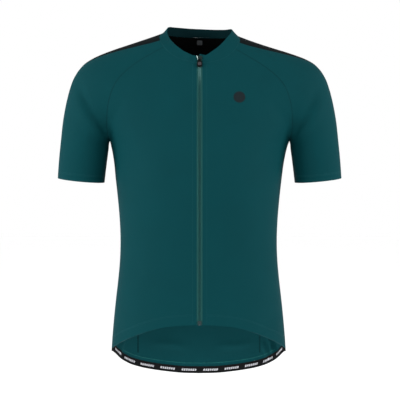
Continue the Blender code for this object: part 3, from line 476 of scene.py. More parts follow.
@dataclass(frozen=True)
class Layout:
    """Rows and columns of every panel in the front view, shared along the seams."""

    columns: int = 40  # of a front, and of half the back
    side_rows: int = 84
    corner_rows: int = 3  # of the fronts below the back's corner
    raglan_rows: int = 56
    sleeve_rows: int = 30
    sleeve_columns: int = 40
    band_columns: int = 12
    collar_rows: int = 10
    zip_half: float = 6.0 * MM
    front_corner: float = -661.2 * MM
    back_corner: float = -653.7 * MM
    cuff_outer: float = -300.0 * MM
    cuff_inner: float = -309.7 * MM
    armpit_outer: float = -210.0 * MM
    ridge_samples: tuple[int, int] = (300, 600)  # below the armpit and above it
    spread_low: float = 90.0  # spread of the columns below the armpit, degrees
    spread_high: float = 30.0  # and near the neck
    spread_fade: float = 0.3  # share of the outer edge over which it changes
    hem_fade: float = 0.35  # share of the outer edge over which the hem's curve fades

    def raglan(self, side: Side) -> np.ndarray:
        """Raglan seam from the armpit to the collar."""
        return walk(RAGLAN_FRONT if side is FRONT else RAGLAN_BACK, self.raglan_rows)

    def outer_edge(self, side: Side) -> np.ndarray:
        """Side seam and raglan seam of a left panel.

        Args:
            side: Front or back.

        Returns:
            Points of the front view, lowest first.
        """
        levels = np.linspace(self.back_corner, FORM.armpit, self.side_rows + 1)[:-1]
        if side is FRONT:
            corner = np.linspace(self.front_corner, self.back_corner, self.corner_rows + 1)[:-1]
            levels = np.concatenate([corner, levels])
        return np.concatenate([np.stack([FORM.trunk_width(levels), levels], axis=1), self.raglan(side)])

    def panel(self, side: Side) -> np.ndarray:
        """Grid of the left front, or of the left half of the back.

        Column k of a row is at sin(k a/n)/sin(a) of the way to the outer edge, where
        the spread a falls above the armpit. Each row bends from the middle to the
        edge as the square of that, and near the hem as the hem does; the top rows
        ease into the neck's curve.

        Args:
            side: Front or back.

        Returns:
            Points (row, column, axis) of the front view, lowest row first.
        """
        hem_table, neck_table, edge = (
            (FRONT_HEM, NECK_FRONT, self.zip_half) if side is FRONT else (BACK_HEM, NECK_BACK[::-1], 0.0)
        )
        outer = self.outer_edge(side)
        neck = walk(neck_table, self.columns)
        share = travelled(outer)
        share = (share / share[-1])[:, None]
        above = np.maximum(0.0, share - share[-1 - self.raglan_rows])
        fall = np.minimum(1.0, above / self.spread_fade) ** 0.5
        turn = np.radians(self.spread_low - (self.spread_low - self.spread_high) * fall)
        part = np.sin(turn * np.linspace(0.0, 1.0, self.columns + 1)) / np.sin(turn)
        x = edge + (outer[:, :1] - edge) * part
        low, high = hem_table[0][1] * MM, neck[0, 1]
        centre = low + (high - low) * share
        hem = Curve.of(hem_table)
        hem_level = hem.at(np.clip(x / outer[:, :1], 0.0, 1.0) * hem.knots[-1])
        hem_rise = (hem_level - low) / (hem.values[-1] - low)
        near_hem = np.maximum(0.0, 1.0 - share / self.hem_fade) ** 2
        bow = part**2 * (1.0 - near_hem) + hem_rise * near_hem
        rows = np.stack([x, centre + (outer[:, 1:] - centre) * bow], axis=-1)
        past_armpit = np.arange(len(rows)) - (len(rows) - 1 - self.raglan_rows)
        ease = np.maximum(0.0, past_armpit / self.raglan_rows)
        return rows + (neck - rows[-1]) * (ease**3)[:, None, None]

    def whole_back(self) -> np.ndarray:
        """Grid of the whole back in the front view, wearer's right edge first."""
        half = self.panel(BACK)
        return np.concatenate([mirrored(half[:, :0:-1], Flank.RIGHT), half], axis=1)

    def ridge(self) -> np.ndarray:
        """Outer line of the left sleeve and shoulder in the front view.

        Returns:
            A point for each row, from the cuff to the collar.
        """
        top = NECK_SHOULDER[-1][1] * MM
        parts = []
        spans = ((self.cuff_outer, self.armpit_outer), (self.armpit_outer, top))
        for span, samples, rows in zip(spans, self.ridge_samples, (self.sleeve_rows, self.raglan_rows)):
            heights = np.linspace(*span, samples)
            parts.append(even_points(np.stack([FORM.outline(heights), heights], axis=1), rows))
        outer = np.concatenate([parts[0][:-1], parts[1]])
        outer[:, 0] = FORM.outline(outer[:, 1])
        return outer

    def sleeve(self, side: Side) -> tuple[np.ndarray, np.ndarray]:
        """Grids of half the left sleeve, and of half its shoulder insert.

        A row runs straight from the ridge to the sleeve's inner line or raglan seam.
        The insert takes it up to the depth of its table, the sleeve takes the rest.

        Args:
            side: Front or back.

        Returns:
            Points (row, column, axis) of the front view, of the sleeve and the insert.
        """
        outer = self.ridge()
        levels = np.linspace(self.cuff_inner, FORM.armpit, self.sleeve_rows + 1)[:-1]
        under = np.stack([Curve.of(ARM).at(levels), levels], axis=1)
        inner = np.concatenate([under, self.raglan(side)])
        share = np.linspace(0.0, 1.0, FINE_STEPS + 1)[None, :, None] ** 2
        lines = outer[:, None] + (inner - outer)[:, None] * share
        lines[-1] = walk(NECK_SHOULDER[::-1] if side is FRONT else NECK_SIDE_BACK, FINE_STEPS)
        depths = FORM.depth(lines[..., 0], lines[..., 1], side)
        depths[:, 0] = 0.0
        reach = np.interp(outer[:, 0], *(np.array(SHOULDER_BAND).T * MM))
        tip = int(np.argmax(reach > 0.0)) - 1
        sleeve, band = [], []
        for row, (line, depth, half) in enumerate(zip(lines, depths, reach)):
            past = int(np.argmax(depth)) + 1
            far = travelled(np.concatenate([line, depth[:, None]], axis=1))
            begin = np.interp(half, depth[:past], far[:past])
            sleeve.append(look_up(np.linspace(begin, far[-1], self.sleeve_columns + 1), far, line))
            if row >= tip:
                wanted = half * np.linspace(0.0, 1.0, self.band_columns + 1)
                band.append(look_up(wanted, depth[:past], line[:past]))
        return np.array(sleeve), np.array(band)


LAYOUT = Layout()


def mirrored(points: np.ndarray, flank: Flank) -> np.ndarray:
    """Points moved to the wearer's other side where the flank asks for it.

    Args:
        points: Points of the wearer's left.
        flank: Side that they are wanted on.

    Returns:
        The points there.
    """
    moved = points.copy()
    moved[..., 0] *= flank.value
    return moved


def flank_name(stem: str, flank: Flank) -> str:
    """Name of a piece of which each side has one."""
    return f"{stem}_{flank.name.lower()}"


SEAM_DRAW = 0.02 * MM
EVERY = slice(None)
FAR_EDGE = ((EVERY, -1), (EVERY, -2))
NEAR_EDGE = ((EVERY, 0), (EVERY, 1))
TOP_EDGE = ((-1, EVERY), (-2, EVERY))
LOW_EDGE = ((0, EVERY), (1, EVERY))


@dataclass(frozen=True)
class Patch:
    """Grid of outer points with the inner point behind each."""

    outer: np.ndarray
    inner: np.ndarray

    @classmethod
    def cloth(cls, view: np.ndarray, side: Side, wall: float = CLOTH_WALL, lift: float = 0.0) -> "Patch":
        """Cloth on the form at points of the front view.

        Args:
            view: Grid of points (across, level).
            side: Front or back.
            wall: Thickness inwards.
            lift: Height of the outer face over the form.

        Returns:
            The patch.
        """
        point, normal = FORM.skin(view, side)
        return cls(point + normal * lift, point + normal * (lift - wall))

    def shrink(self, *edges: tuple, amount: float = SEAM_DRAW) -> "Patch":
        """Draw edges back from their seams, in place.

        Args:
            edges: Index of each edge, with that of the points inside it.
            amount: How far.

        Returns:
            The patch itself.
        """
        for edge, inside in edges:
            for layer in (self.outer, self.inner):
                layer[edge] = layer[edge] + unit(layer[inside] - layer[edge]) * amount
        return self

    def flipped(self) -> "Patch":
        """The patch with its columns the other way round."""
        return Patch(self.outer[:, ::-1], self.inner[:, ::-1])


def add_node(
    tree: bpy.types.NodeTree, kind: str, settings: dict | None = None, links: dict | None = None
) -> bpy.types.ShaderNode:
    """Add a shader node.

    Args:
        tree: Node tree.
        kind: Class name of the node, without its prefix.
        settings: Attributes, or input values by name or number.
        links: Input name or number to output socket.

    Returns:
        The node.
    """
    node = tree.nodes.new("ShaderNode" + kind)
    for key, value in (settings or {}).items():
        if isinstance(key, str) and hasattr(node, key):
            setattr(node, key, value)
        else:
            node.inputs[key].default_value = value
    for key, socket in (links or {}).items():
        tree.links.new(socket, node.inputs[key])
    return node


@dataclass(frozen=True)
class Finish:
    """Plain finish of a hard piece or a thread."""

    name: str
    slot: str
    colour: str
    roughness: float = 0.5
    metallic: float = 0.0
    specular: float = 0.5
    wear_scale: float = 600.0  # patches of a few millimetres
    wear: float = 0.08

    def material(self) -> bpy.types.Material:
        """The finish's material, made once.

        Returns:
            The material.
        """
        found = bpy.data.materials.get(self.name)
        if found:
            return found
        material = bpy.data.materials.new(self.name)
        material.use_nodes = True
        tree = material.node_tree
        shader = tree.nodes["Principled BSDF"]
        shader.inputs["Base Color"].default_value = srgb(self.colour)
        shader.inputs["Roughness"].default_value = self.roughness
        shader.inputs["Metallic"].default_value = self.metallic
        shader.inputs["Specular IOR Level"].default_value = self.specular
        self.detail(tree, shader)
        return material

    def detail(self, tree: bpy.types.NodeTree, shader: bpy.types.ShaderNode) -> None:
        """Fine wear: the roughness varies a little over a few millimetres.

        Args:
            tree: The material's nodes.
            shader: Its shader.
        """
        place = add_node(tree, "TexCoord").outputs["Object"]
        noise = add_node(tree, "TexNoise", {"Scale": self.wear_scale, "Detail": 3.0}, {"Vector": place})
        ends = {"To Min": self.roughness - self.wear, "To Max": self.roughness + self.wear}
        spread = add_node(tree, "MapRange", ends, {"Value": noise.outputs["Fac"]})
        tree.links.new(spread.outputs["Result"], shader.inputs["Roughness"])


@dataclass(frozen=True)
class CoilFinish(Finish):
    """Nylon coil, paler near the top of its run: a painted highlight."""

    # painted highlight: the coil's colour near the top of its run, and the heights over which it fades in
    painted_highlight: str = "#3F6563"
    highlight_from: float = -112.0 * MM
    highlight_to: float = -82.0 * MM

    def detail(self, tree: bpy.types.NodeTree, shader: bpy.types.ShaderNode) -> None:
        """Colour from plain to a painted highlight up the jersey, over a given span of height.

        Inputs 6 and 7 of the mixing node are its two colours, output 2 is their mix.

        Args:
            tree: The material's nodes.
            shader: Its shader.
        """
        place = add_node(tree, "TexCoord").outputs["Object"]
        height = add_node(tree, "SeparateXYZ", links={"Vector": place}).outputs["Z"]
        reach = {"From Min": self.highlight_from, "From Max": self.highlight_to, "interpolation_type": "SMOOTHSTEP"}
        share = add_node(tree, "MapRange", reach, {"Value": height}).outputs["Result"]
        ends = {"data_type": "RGBA", 6: srgb(self.colour), 7: srgb(self.painted_highlight)}
        mixed = add_node(tree, "Mix", ends, {0: share})
        tree.links.new(mixed.outputs[2], shader.inputs["Base Color"])


@dataclass(frozen=True)
class KnitFinish(Finish):
    """Fine knit or weave: narrow loops in relief, and painted shade darkening the grooves along the seams.
    """

    specular: float = 0.03
    wale: float = 0.9 * MM  # pitch of the loops across the grid
    course: float = 0.7 * MM  # and along it
    depth: float = 0.05 * MM
    groove: float = 1.5 * MM  # breadth of the groove along a seam
    groove_depth: float = 4.0  # times the depth of a loop
    # share of the colour left at a seam: painted shade in its groove
    groove_painted_shade: float = 0.62
    cloud_scale: float = 14.0  # soft patches of about 70 mm
    cloud: float = 0.08

    def detail(self, tree: bpy.types.NodeTree, shader: bpy.types.ShaderNode) -> None:
        """Relief and tone of the cloth.

        The relief is sin(2 pi u / wale) sin(2 pi v / course) plus the groove, and the
        colour is scaled by soft patches and by painted shade in the groove.

        Args:
            tree: The material's nodes.
            shader: Its shader.
        """
        metres = add_node(tree, "UVMap", {"uv_map": "metres"}).outputs["UV"]
        parts = add_node(tree, "SeparateXYZ", links={"Vector": metres})
        waves = {}
        for number, (axis, pitch) in enumerate((("X", self.wale), ("Y", self.course))):
            per_metre = {"operation": "MULTIPLY", 1: FULL_TURN / pitch}
            turns = add_node(tree, "Math", per_metre, {0: parts.outputs[axis]})
            waves[number] = add_node(tree, "Math", {"operation": "SINE"}, {0: turns.outputs[0]}).outputs[0]
        loops = add_node(tree, "Math", {"operation": "MULTIPLY"}, waves).outputs[0]
        seam = add_node(tree, "Attribute", {"attribute_name": "seam"}).outputs["Fac"]
        reach = {"From Max": self.groove, "interpolation_type": "SMOOTHSTEP"}
        away = add_node(tree, "MapRange", reach, {"Value": seam}).outputs["Result"]
        added = {"operation": "MULTIPLY_ADD", 1: self.groove_depth}
        relief = add_node(tree, "Math", added, {0: away, 2: loops}).outputs[0]
        bump = add_node(tree, "Bump", {"Strength": 1.0, "Distance": self.depth}, {"Height": relief})
        tree.links.new(bump.outputs["Normal"], shader.inputs["Normal"])
        place = add_node(tree, "TexCoord").outputs["Object"]
        patches = add_node(tree, "TexNoise", {"Scale": self.cloud_scale, "Detail": 4.0}, {"Vector": place})
        ends = {"To Min": 1.0 - self.cloud, "To Max": 1.0 + self.cloud}
        tone = add_node(tree, "MapRange", ends, {"Value": patches.outputs["Fac"]}).outputs["Result"]
        # Painted shade: the colour darkens towards a seam, where its groove lies.
        shade = add_node(tree, "MapRange", {"To Min": self.groove_painted_shade}, {"Value": away}).outputs["Result"]
        dark = add_node(tree, "Math", {"operation": "MULTIPLY"}, {0: tone, 1: shade}).outputs[0]
        plain = {"operation": "SCALE", 0: srgb(self.colour)[:3]}
        colour = add_node(tree, "VectorMath", plain, {"Scale": dark}).outputs["Vector"]
        tree.links.new(colour, shader.inputs["Base Color"])


# Polyester warp knit of the panels, sleeves and collar: matt, deep and even, with hardly a shine.
PETROL_KNIT = KnitFinish("petrol_warp_knit", "petrol_knit", "#022C30", 0.72)
# The same knit in black, for the shoulder inserts: it stays dark where light falls on it.
BLACK_KNIT = KnitFinish("black_warp_knit", "black_knit", "#070D0E", 0.78)
# Ribbed elastic of the back hem: a coarser grain than the knit.
BLACK_ELASTIC = KnitFinish("ribbed_elastic", "black_elastic", "#0A0B0C", 0.7, wale=1.6 * MM, course=1.2 * MM)
# Inner face of the collar: the same knit, painted darker as the shade inside the collar.
PETROL_SHADED_INSIDE = KnitFinish("petrol_knit_inside", "petrol_knit", "#011518", 0.8)
# Black sheet inside the back of the neck, as painted shade: it stands for the deep shade there and takes
# nearly all the light.
NECK_SHADE_BLACK = KnitFinish("brushed_facing", "black_knit", "#010202", 0.9)
# Woven polyester of the zip's tapes: paler than the knit, with a tight grain.
ZIP_TAPE = KnitFinish("woven_zip_tape", "zip_tape_green", "#224E4C", 0.7, wale=0.6 * MM, course=0.6 * MM)
# Nylon monofilament of the coil: smooth, so each turn catches a little light; near the top it is painted
# paler as a highlight.
ZIP_COIL = CoilFinish("nylon_coil", "zip_coil_green", "#0A3B3A", 0.5, specular=0.15)
# Moulded retainer at the bottom of the zip: dark, with a soft shine.
STOP_GREY = Finish("moulded_stop", "stop_grey", "#0D2022", 0.5, specular=0.2)
# Die-cast slider, plated in a dark grey: a dull metal.
SLIDER_STEEL = Finish("dark_plate", "slider_steel", "#132220", 0.45, 0.6, 0.2)
# Steel wire of the slider's bail, much paler than the slider's plate: bright steel with a painted highlight,
# a light spot at the top of the zip.
BAIL_HIGHLIGHT_STEEL = Finish("bright_wire", "slider_steel", "#A9BDB8", 0.35, 0.6)
# Moulded rubber of the pull tab: black and matt.
PULL_CHARCOAL = Finish("moulded_rubber", "pull_charcoal", "#030404", 0.75, specular=0.06)
# Softer rubber let into the pull tab: a warm dark grey.
PULL_INLAY = Finish("rubber_inlay", "pull_charcoal", "#2D282A", 0.7, specular=0.1)
# Spun sewing thread: a shade lighter than the cloth.
THREAD = Finish("petrol_thread", "petrol_knit", "#08393D", 0.6, specular=0.1)
# Paler thread of the row above the hem band: a light line inside the back.
PALE_THREAD = Finish("pale_thread", "petrol_knit", "#155753", 0.6, specular=0.1)
# Dark thread of the pocket's sides: two pairs of dark lines inside the back.
BLACK_THREAD = Finish("black_thread", "black_knit", "#01090B", 0.7, specular=0.02)
# Woven label at the nape, blank: a plain mid grey.
LABEL_GREY = KnitFinish("woven_label", "black_knit", "#3C3F41", 0.7, wale=0.5 * MM, course=0.5 * MM)
# Heat-applied film of the chest disc: smooth, nearly black.
DISC_FILM = Finish("matt_film", "black_knit", "#0C1417", 0.6, specular=0.08)
# Silicone of the bars inside the hem band: pale, with a soft shine.
GRIPPER = Finish("silicone_gripper", "black_elastic", "#8B8B8F", 0.5, specular=0.2)


def add_piece(
    name: str, mesh: bpy.types.Mesh, finish: Finish, node: str = "", body: str = ROOT_BODY
) -> bpy.types.Object:
    """Put a mesh in the scene as a piece of the jersey.

    Args:
        name: Name of the piece.
        mesh: Its mesh, in the row frame.
        finish: Its finish.
        node: CAD node that it replaces, if any.
        body: Body that carries it.

    Returns:
        The piece.
    """
    mesh.materials.append(finish.material())
    item = bpy.data.objects.new(name, mesh)
    bpy.context.scene.collection.objects.link(item)
    if node:
        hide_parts(node)
    LOG.info("  %s: %d faces, %s", name, len(mesh.polygons), finish.name)
    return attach(item, body)


@dataclass
class ClothPiece:
    """One cut piece of cloth as a closed thin shell.

    Patches are welded along the points they share; the inner face repeats the outer
    one, and the rim joins them. Vertices carry their distance from the piece's
    seams, and UVs are metres along the grid.
    """

    name: str
    finish: Finish
    flat: tuple[float, float] | None = None
    seams: tuple[np.ndarray, ...] = ()
    in_solids: bool = True
    # darker finish of the inner face, as painted shade
    shaded_inside: Finish | None = None
    weld: float = 0.002 * MM
    smooth_to: float = 50.0  # degrees
    no_seam: float = 1.0  # distance where a piece has no seam

    def build(self, patches: list[Patch]) -> bpy.types.Object:
        """Weld the patches into the piece.

        Args:
            patches: Patches whose neighbours share their border points.

        Returns:
            The piece.
        """
        outer = np.concatenate([p.outer.reshape(-1, 3) for p in patches])
        inner = np.concatenate([p.inner.reshape(-1, 3) for p in patches])
        uv = np.concatenate([self.grid_uv(p.outer) for p in patches])
        starts = np.cumsum([0] + [p.outer.shape[0] * p.outer.shape[1] for p in patches])
        faces = np.concatenate([self.quads(*p.outer.shape[:2], s) for p, s in zip(patches, starts)])
        key = np.round(outer / self.weld).astype(np.int64)
        _, first, back = np.unique(key, axis=0, return_index=True, return_inverse=True)
        faces = back.ravel()[faces]
        outer, inner, uv = outer[first], inner[first], uv[first]
        total = len(first)
        edges = np.stack([faces, np.roll(faces, -1, axis=1)], axis=-1).reshape(-1, 2)
        edges = edges[edges[:, 0] != edges[:, 1]]
        rim = edges[~np.isin(edges[:, 0] * total + edges[:, 1], edges[:, 1] * total + edges[:, 0])]
        rim = np.stack([rim[:, 1], rim[:, 0], rim[:, 0] + total, rim[:, 1] + total], axis=1)
        pointed = faces[:, 0] == faces[:, 1]
        quads = np.concatenate([faces[~pointed], faces[~pointed][:, ::-1] + total, rim])
        points = np.concatenate([outer, inner])
        tips = faces[pointed][:, 1:]
        tips = np.concatenate([tips, tips[:, ::-1] + total])
        mesh = bpy.data.meshes.new(self.name)
        mesh.from_pydata(FORM.settle(points).tolist(), [], quads.tolist() + tips.tolist())
        self.mark(mesh, points, np.concatenate([uv, uv]))
        self.turn_outwards(mesh)
        return self.dress(mesh, outer, faces)

    def quads(self, rows: int, columns: int, start: int) -> np.ndarray:
        """Faces of a grid of points counted row by row.

        Args:
            rows: Rows of the grid.
            columns: Its columns.
            start: Number of its first point.

        Returns:
            Four point numbers for each face.
        """
        index = np.arange(rows * columns).reshape(rows, columns) + start
        corners = (index[:-1, :-1], index[:-1, 1:], index[1:, 1:], index[1:, :-1])
        return np.stack([c.ravel() for c in corners], axis=1)

    def grid_uv(self, grid: np.ndarray) -> np.ndarray:
        """Metres along the rows and up the middle column of a grid.

        Args:
            grid: Points (row, column, axis).

        Returns:
            Two metres for each point, row by row.
        """
        along = np.linalg.norm(np.diff(grid, axis=1), axis=-1)
        along = np.concatenate([np.zeros((len(grid), 1)), np.cumsum(along, axis=1)], axis=1)
        up = travelled(grid[:, grid.shape[1] // 2])
        return np.stack([along, np.broadcast_to(up[:, None], along.shape)], axis=-1).reshape(-1, 2)

    def mark(self, mesh: bpy.types.Mesh, points: np.ndarray, uv: np.ndarray) -> None:
        """Store the UVs, and each vertex's distance from the nearest seam.

        Args:
            mesh: The piece's mesh.
            points: Its vertices, before they settle.
            uv: Metres along the grid at each.
        """
        corners = np.empty(len(mesh.loops), dtype=np.int64)
        mesh.loops.foreach_get("vertex_index", corners)
        mesh.uv_layers.new(name="metres").data.foreach_set("uv", uv[corners].ravel())
        away = np.full(len(points), self.no_seam)
        for seam in self.seams:
            gaps = np.sqrt(((points[:, None, :] - seam[None, :, :]) ** 2).sum(axis=-1).min(axis=1))
            away = np.minimum(away, gaps)
        mesh.attributes.new("seam", "FLOAT", "POINT").data.foreach_set("value", away)

    def turn_outwards(self, mesh: bpy.types.Mesh) -> None:
        """Turn the faces outwards and shade them smooth but for the rim.

        Args:
            mesh: The piece's mesh.
        """
        work = bmesh.new()
        work.from_mesh(mesh)
        bmesh.ops.recalc_face_normals(work, faces=work.faces)
        work.to_mesh(mesh)
        work.free()
        mesh.shade_smooth()
        mesh.set_sharp_from_angle(angle=math.radians(self.smooth_to))

    def dress(self, mesh: bpy.types.Mesh, outer: np.ndarray, faces: np.ndarray) -> bpy.types.Object:
        """Give the piece its finish, the darker finish of painted shade on its inner face where it has one,
        and its node; where it has a flat cut, log its area of cloth.

        Args:
            mesh: The piece's mesh, whose first faces are the outer ones.
            outer: Points of the outer face.
            faces: Its faces.

        Returns:
            The piece.
        """
        item = add_piece(self.name, mesh, self.finish, node=self.name if self.in_solids else "")
        # The inner faces take the darker finish: painted shade.
        if self.shaded_inside:
            mesh.materials.append(self.shaded_inside.material())
            rows = np.zeros(len(mesh.polygons), dtype=np.int32)
            rows[len(faces) : 2 * len(faces)] = 1
            mesh.polygons.foreach_set("material_index", rows)
        if self.flat:
            corner = outer[faces]
            cross = np.cross(corner[:, 2] - corner[:, 0], corner[:, 3] - corner[:, 1])
            area = float(np.linalg.norm(cross, axis=1).sum() / 2.0)
            LOG.info("  %s: %.4f m2 of cloth", self.name, area)
        return item


def ring_directions(along: np.ndarray, out: np.ndarray, sides: int) -> np.ndarray:
    """Directions round a line: cos(t) u + sin(t) (a x u), with u square to the line's a.

    Args:
        along: Unit direction of the line at each point.
        out: Rough outward direction at each point.
        sides: Number of directions round each point.

    Returns:
        Unit directions (point, side, axis).
    """
    up = unit(out - along * (out * along).sum(axis=-1, keepdims=True))
    turn = np.linspace(0.0, FULL_TURN, sides, endpoint=False)[:, None]
    return np.cos(turn) * up[:, None] + np.sin(turn) * np.cross(along, up)[:, None]


def tube_mesh(name: str, rings: np.ndarray) -> bpy.types.Mesh:
    """Mesh of closed tubes: quads between neighbouring rings and a cap on each end.

    Args:
        name: Name of the mesh.
        rings: Rings of points (tube, ring, side, axis).

    Returns:
        The mesh.
    """
    index = np.arange(rings[..., 0].size).reshape(rings.shape[:3])
    turned = np.roll(index, -1, axis=2)
    walls = np.stack([index[:, :-1], turned[:, :-1], turned[:, 1:], index[:, 1:]], axis=-1)
    caps = np.concatenate([index[:, 0, ::-1], index[:, -1]])
    mesh = bpy.data.meshes.new(name)
    mesh.from_pydata(rings.reshape(-1, 3).tolist(), [], walls.reshape(-1, 4).tolist() + caps.tolist())
    return mesh


def add_tubes(name: str, rings: np.ndarray, finish: Finish, node: str = "") -> None:
    """Put smooth closed tubes, settled with the cloth, in the scene as one piece.

    Args:
        name: Name of the piece.
        rings: Rings of points (tube, ring, side, axis).
        finish: Its finish.
        node: CAD node that it replaces, if any.
    """
    mesh = tube_mesh(name, FORM.settle(rings))
    mesh.shade_smooth()
    add_piece(name, mesh, finish, node)


@dataclass(frozen=True)
class Sewing:
    """Stitches in a row: rounded bars of thread half sunk in the cloth.

    A stitch from p to q has rings at p + (q - p) a with radius r f, where f is less
    at its two ends.
    """

    radius: float = 0.22 * MM
    length: float = 2.6 * MM
    gap: float = 0.5 * MM
    sides: int = 6
    shares: tuple[float, ...] = (0.0, 0.12, 0.88, 1.0)
    fullness: tuple[float, ...] = (0.45, 1.0, 1.0, 0.45)

    def row(self, line: np.ndarray, out: np.ndarray) -> np.ndarray:
        """Stitches along one line.

        Args:
            line: Points of the line on the cloth's face.
            out: Direction out of the cloth at each.

        Returns:
            Rings of points (stitch, ring, side, axis).
        """
        far = travelled(line)
        count = int(far[-1] / (self.length + self.gap))
        start = np.arange(count) * far[-1] / count + self.gap / 2.0
        first, last = (look_up(where, far, line) for where in (start, start + self.length))
        round_it = ring_directions(unit(last - first), look_up(start, far, out), self.sides)
        share = np.array(self.shares)[None, :, None, None]
        size = self.radius * np.array(self.fullness)[None, :, None, None]
        return first[:, None, None] + (last - first)[:, None, None] * share + round_it[:, None] * size

    def sew(self, name: str, lines: list[Line], finish: Finish = THREAD) -> None:
        """Add the stitches along some lines as one piece.

        Args:
            name: Name of the piece.
            lines: The lines, each with its outward directions.
            finish: The thread.
        """
        add_tubes(name, np.concatenate([self.row(line, out) for line, out in lines]), finish)


SEWING = Sewing()


def face_line(across: np.ndarray, level: np.ndarray, side: Side, wall: float = 0.0) -> Line:
    """Line of the front view on the cloth's outer face, or on its inner one.

    Args:
        across: Distance of each point to the wearer's left.
        level: Height of each point.
        side: Front or back.
        wall: Thickness of the cloth for the inner face, else nought.

    Returns:
        The line's points and outward directions.
    """
    point, normal = FORM.skin(np.stack([across, level], axis=-1), side)
    return point - normal * wall, normal if wall == 0.0 else -normal


ROUND_STEPS = 49  # points round a rounded piece, the last on the first
ROUND_RINGS = 7


def rounded_view(middle: tuple[float, float], half: tuple[float, float], power: float) -> np.ndarray:
    """Polar grid of the front view over |u/a|^n + |v/b|^n = 1, from the middle outwards.

    Args:
        middle: Across and height of the middle, in millimetres.
        half: Half sizes a and b, in millimetres.
        power: The n of the outline: 2 is an ellipse, more is squarer.

    Returns:
        Points (ring, step, axis), in metres.
    """
    turn = np.linspace(0.0, FULL_TURN, ROUND_STEPS)
    turn[-1] = 0.0
    ring = np.stack([np.cos(turn), np.sin(turn)], axis=1)
    ring = np.sign(ring) * np.abs(ring) ** (2.0 / power) * np.array(half)
    return (np.array(middle) + np.linspace(0.0, 1.0, ROUND_RINGS)[:, None, None] * ring) * MM


@dataclass(frozen=True)
class Trunk:
    """Fronts, back and the pocket on it, with their stitches."""

    front_cut: tuple[float, float] = (0.25, 0.66)
    back_cut: tuple[float, float] = (0.49, 0.74)
    pocket_cut: tuple[float, float] = (0.33, 0.24)
    pocket_columns: int = 24  # of the back's grid, each side of its middle
    pocket_rows: tuple[int, int] = (6, 42)  # lowest and highest
    pocket_wall: float = 1.2 * MM
    pocket_lift: float = 1.6 * MM
    hem_rows: tuple[float, float] = (19.0, 21.5)  # height of the stitches over the front hem (mm)
    hem_ends: tuple[float, float] = (15.0, 184.0)
    hem_samples: int = 160
    zip_row: float = 14.7 * MM  # how far from the zip's middle its stitches run
    zip_ends: tuple[float, float] = (-601.0, -64.0)
    zip_samples: int = 300
    pocket_sides: tuple[float, float] = (133.2, 134.8)  # across, of the two rows of a side (mm)
    pocket_edge: float = 134.0  # across, where the hem's height is taken for them (mm)
    pocket_ends: tuple[float, float] = (15.0, -470.0)  # foot over the back hem, and level of the top (mm)
    pocket_samples: int = 160
    pocket_thread: float = 0.45 * MM

    def build(self) -> None:
        """Build the panels, the pocket and their rows of stitches."""
        for flank in Flank:
            self.front(flank)
            self.front_stitches(flank)
        self.back()
        self.pocket()
        self.pocket_stitches()

    def front(self, flank: Flank) -> None:
        """Front panel, from the zip to the side and raglan seams.

        Args:
            flank: Wearer's side.
        """
        patch = Patch.cloth(mirrored(LAYOUT.panel(FRONT), flank), FRONT)
        seams = (patch.outer[:, -1].copy(),)
        piece = ClothPiece(flank_name("front", flank), PETROL_KNIT, self.front_cut, seams)
        piece.build([patch.shrink(FAR_EDGE, TOP_EDGE)])

    def back(self) -> None:
        """Back panel, from side seam to side seam."""
        patch = Patch.cloth(LAYOUT.whole_back(), BACK)
        edges = (patch.outer[:, 0], patch.outer[:, -1], patch.outer[-1], patch.outer[0])
        piece = ClothPiece("back", PETROL_KNIT, self.back_cut, tuple(e.copy() for e in edges))
        piece.build([patch.shrink(FAR_EDGE, NEAR_EDGE, TOP_EDGE, LOW_EDGE)])

    def pocket(self) -> None:
        """Pouch sewn on the lower back: a part of the back's grid, lifted."""
        low, high = self.pocket_rows
        first, last = LAYOUT.columns - self.pocket_columns, LAYOUT.columns + self.pocket_columns
        view = LAYOUT.whole_back()[low : high + 1, first : last + 1]
        patch = Patch.cloth(view, BACK, self.pocket_wall, self.pocket_lift)
        seams = (patch.outer[:, 0], patch.outer[:, -1], patch.outer[0])
        ClothPiece("back_pocket", PETROL_KNIT, self.pocket_cut, seams).build([patch])

    def front_stitches(self, flank: Flank) -> None:
        """Two rows over the front hem and one beside the zip.

        Args:
            flank: Wearer's side.
        """
        across = np.linspace(*self.hem_ends, self.hem_samples) * MM
        hem = Curve.of(FRONT_HEM).at(across)
        lines = [face_line(across * flank.value, hem + above * MM, FRONT) for above in self.hem_rows]
        level = np.linspace(*self.zip_ends, self.zip_samples) * MM
        lines.append(face_line(np.full(len(level), self.zip_row * flank.value), level, FRONT))
        SEWING.sew(flank_name("front_stitches", flank), lines)

    def pocket_stitches(self) -> None:
        """The pocket's side seams as they show on the inner face of the back."""
        hem = np.interp(self.pocket_edge, *np.array(BACK_HEM).T)
        level = np.linspace(hem + self.pocket_ends[0], self.pocket_ends[1], self.pocket_samples) * MM
        lines = [
            face_line(np.full(len(level), across * MM * flank.value), level, BACK, CLOTH_WALL)
            for flank in Flank
            for across in self.pocket_sides
        ]
        Sewing(radius=self.pocket_thread).sew("pocket_stitches", lines, BLACK_THREAD)


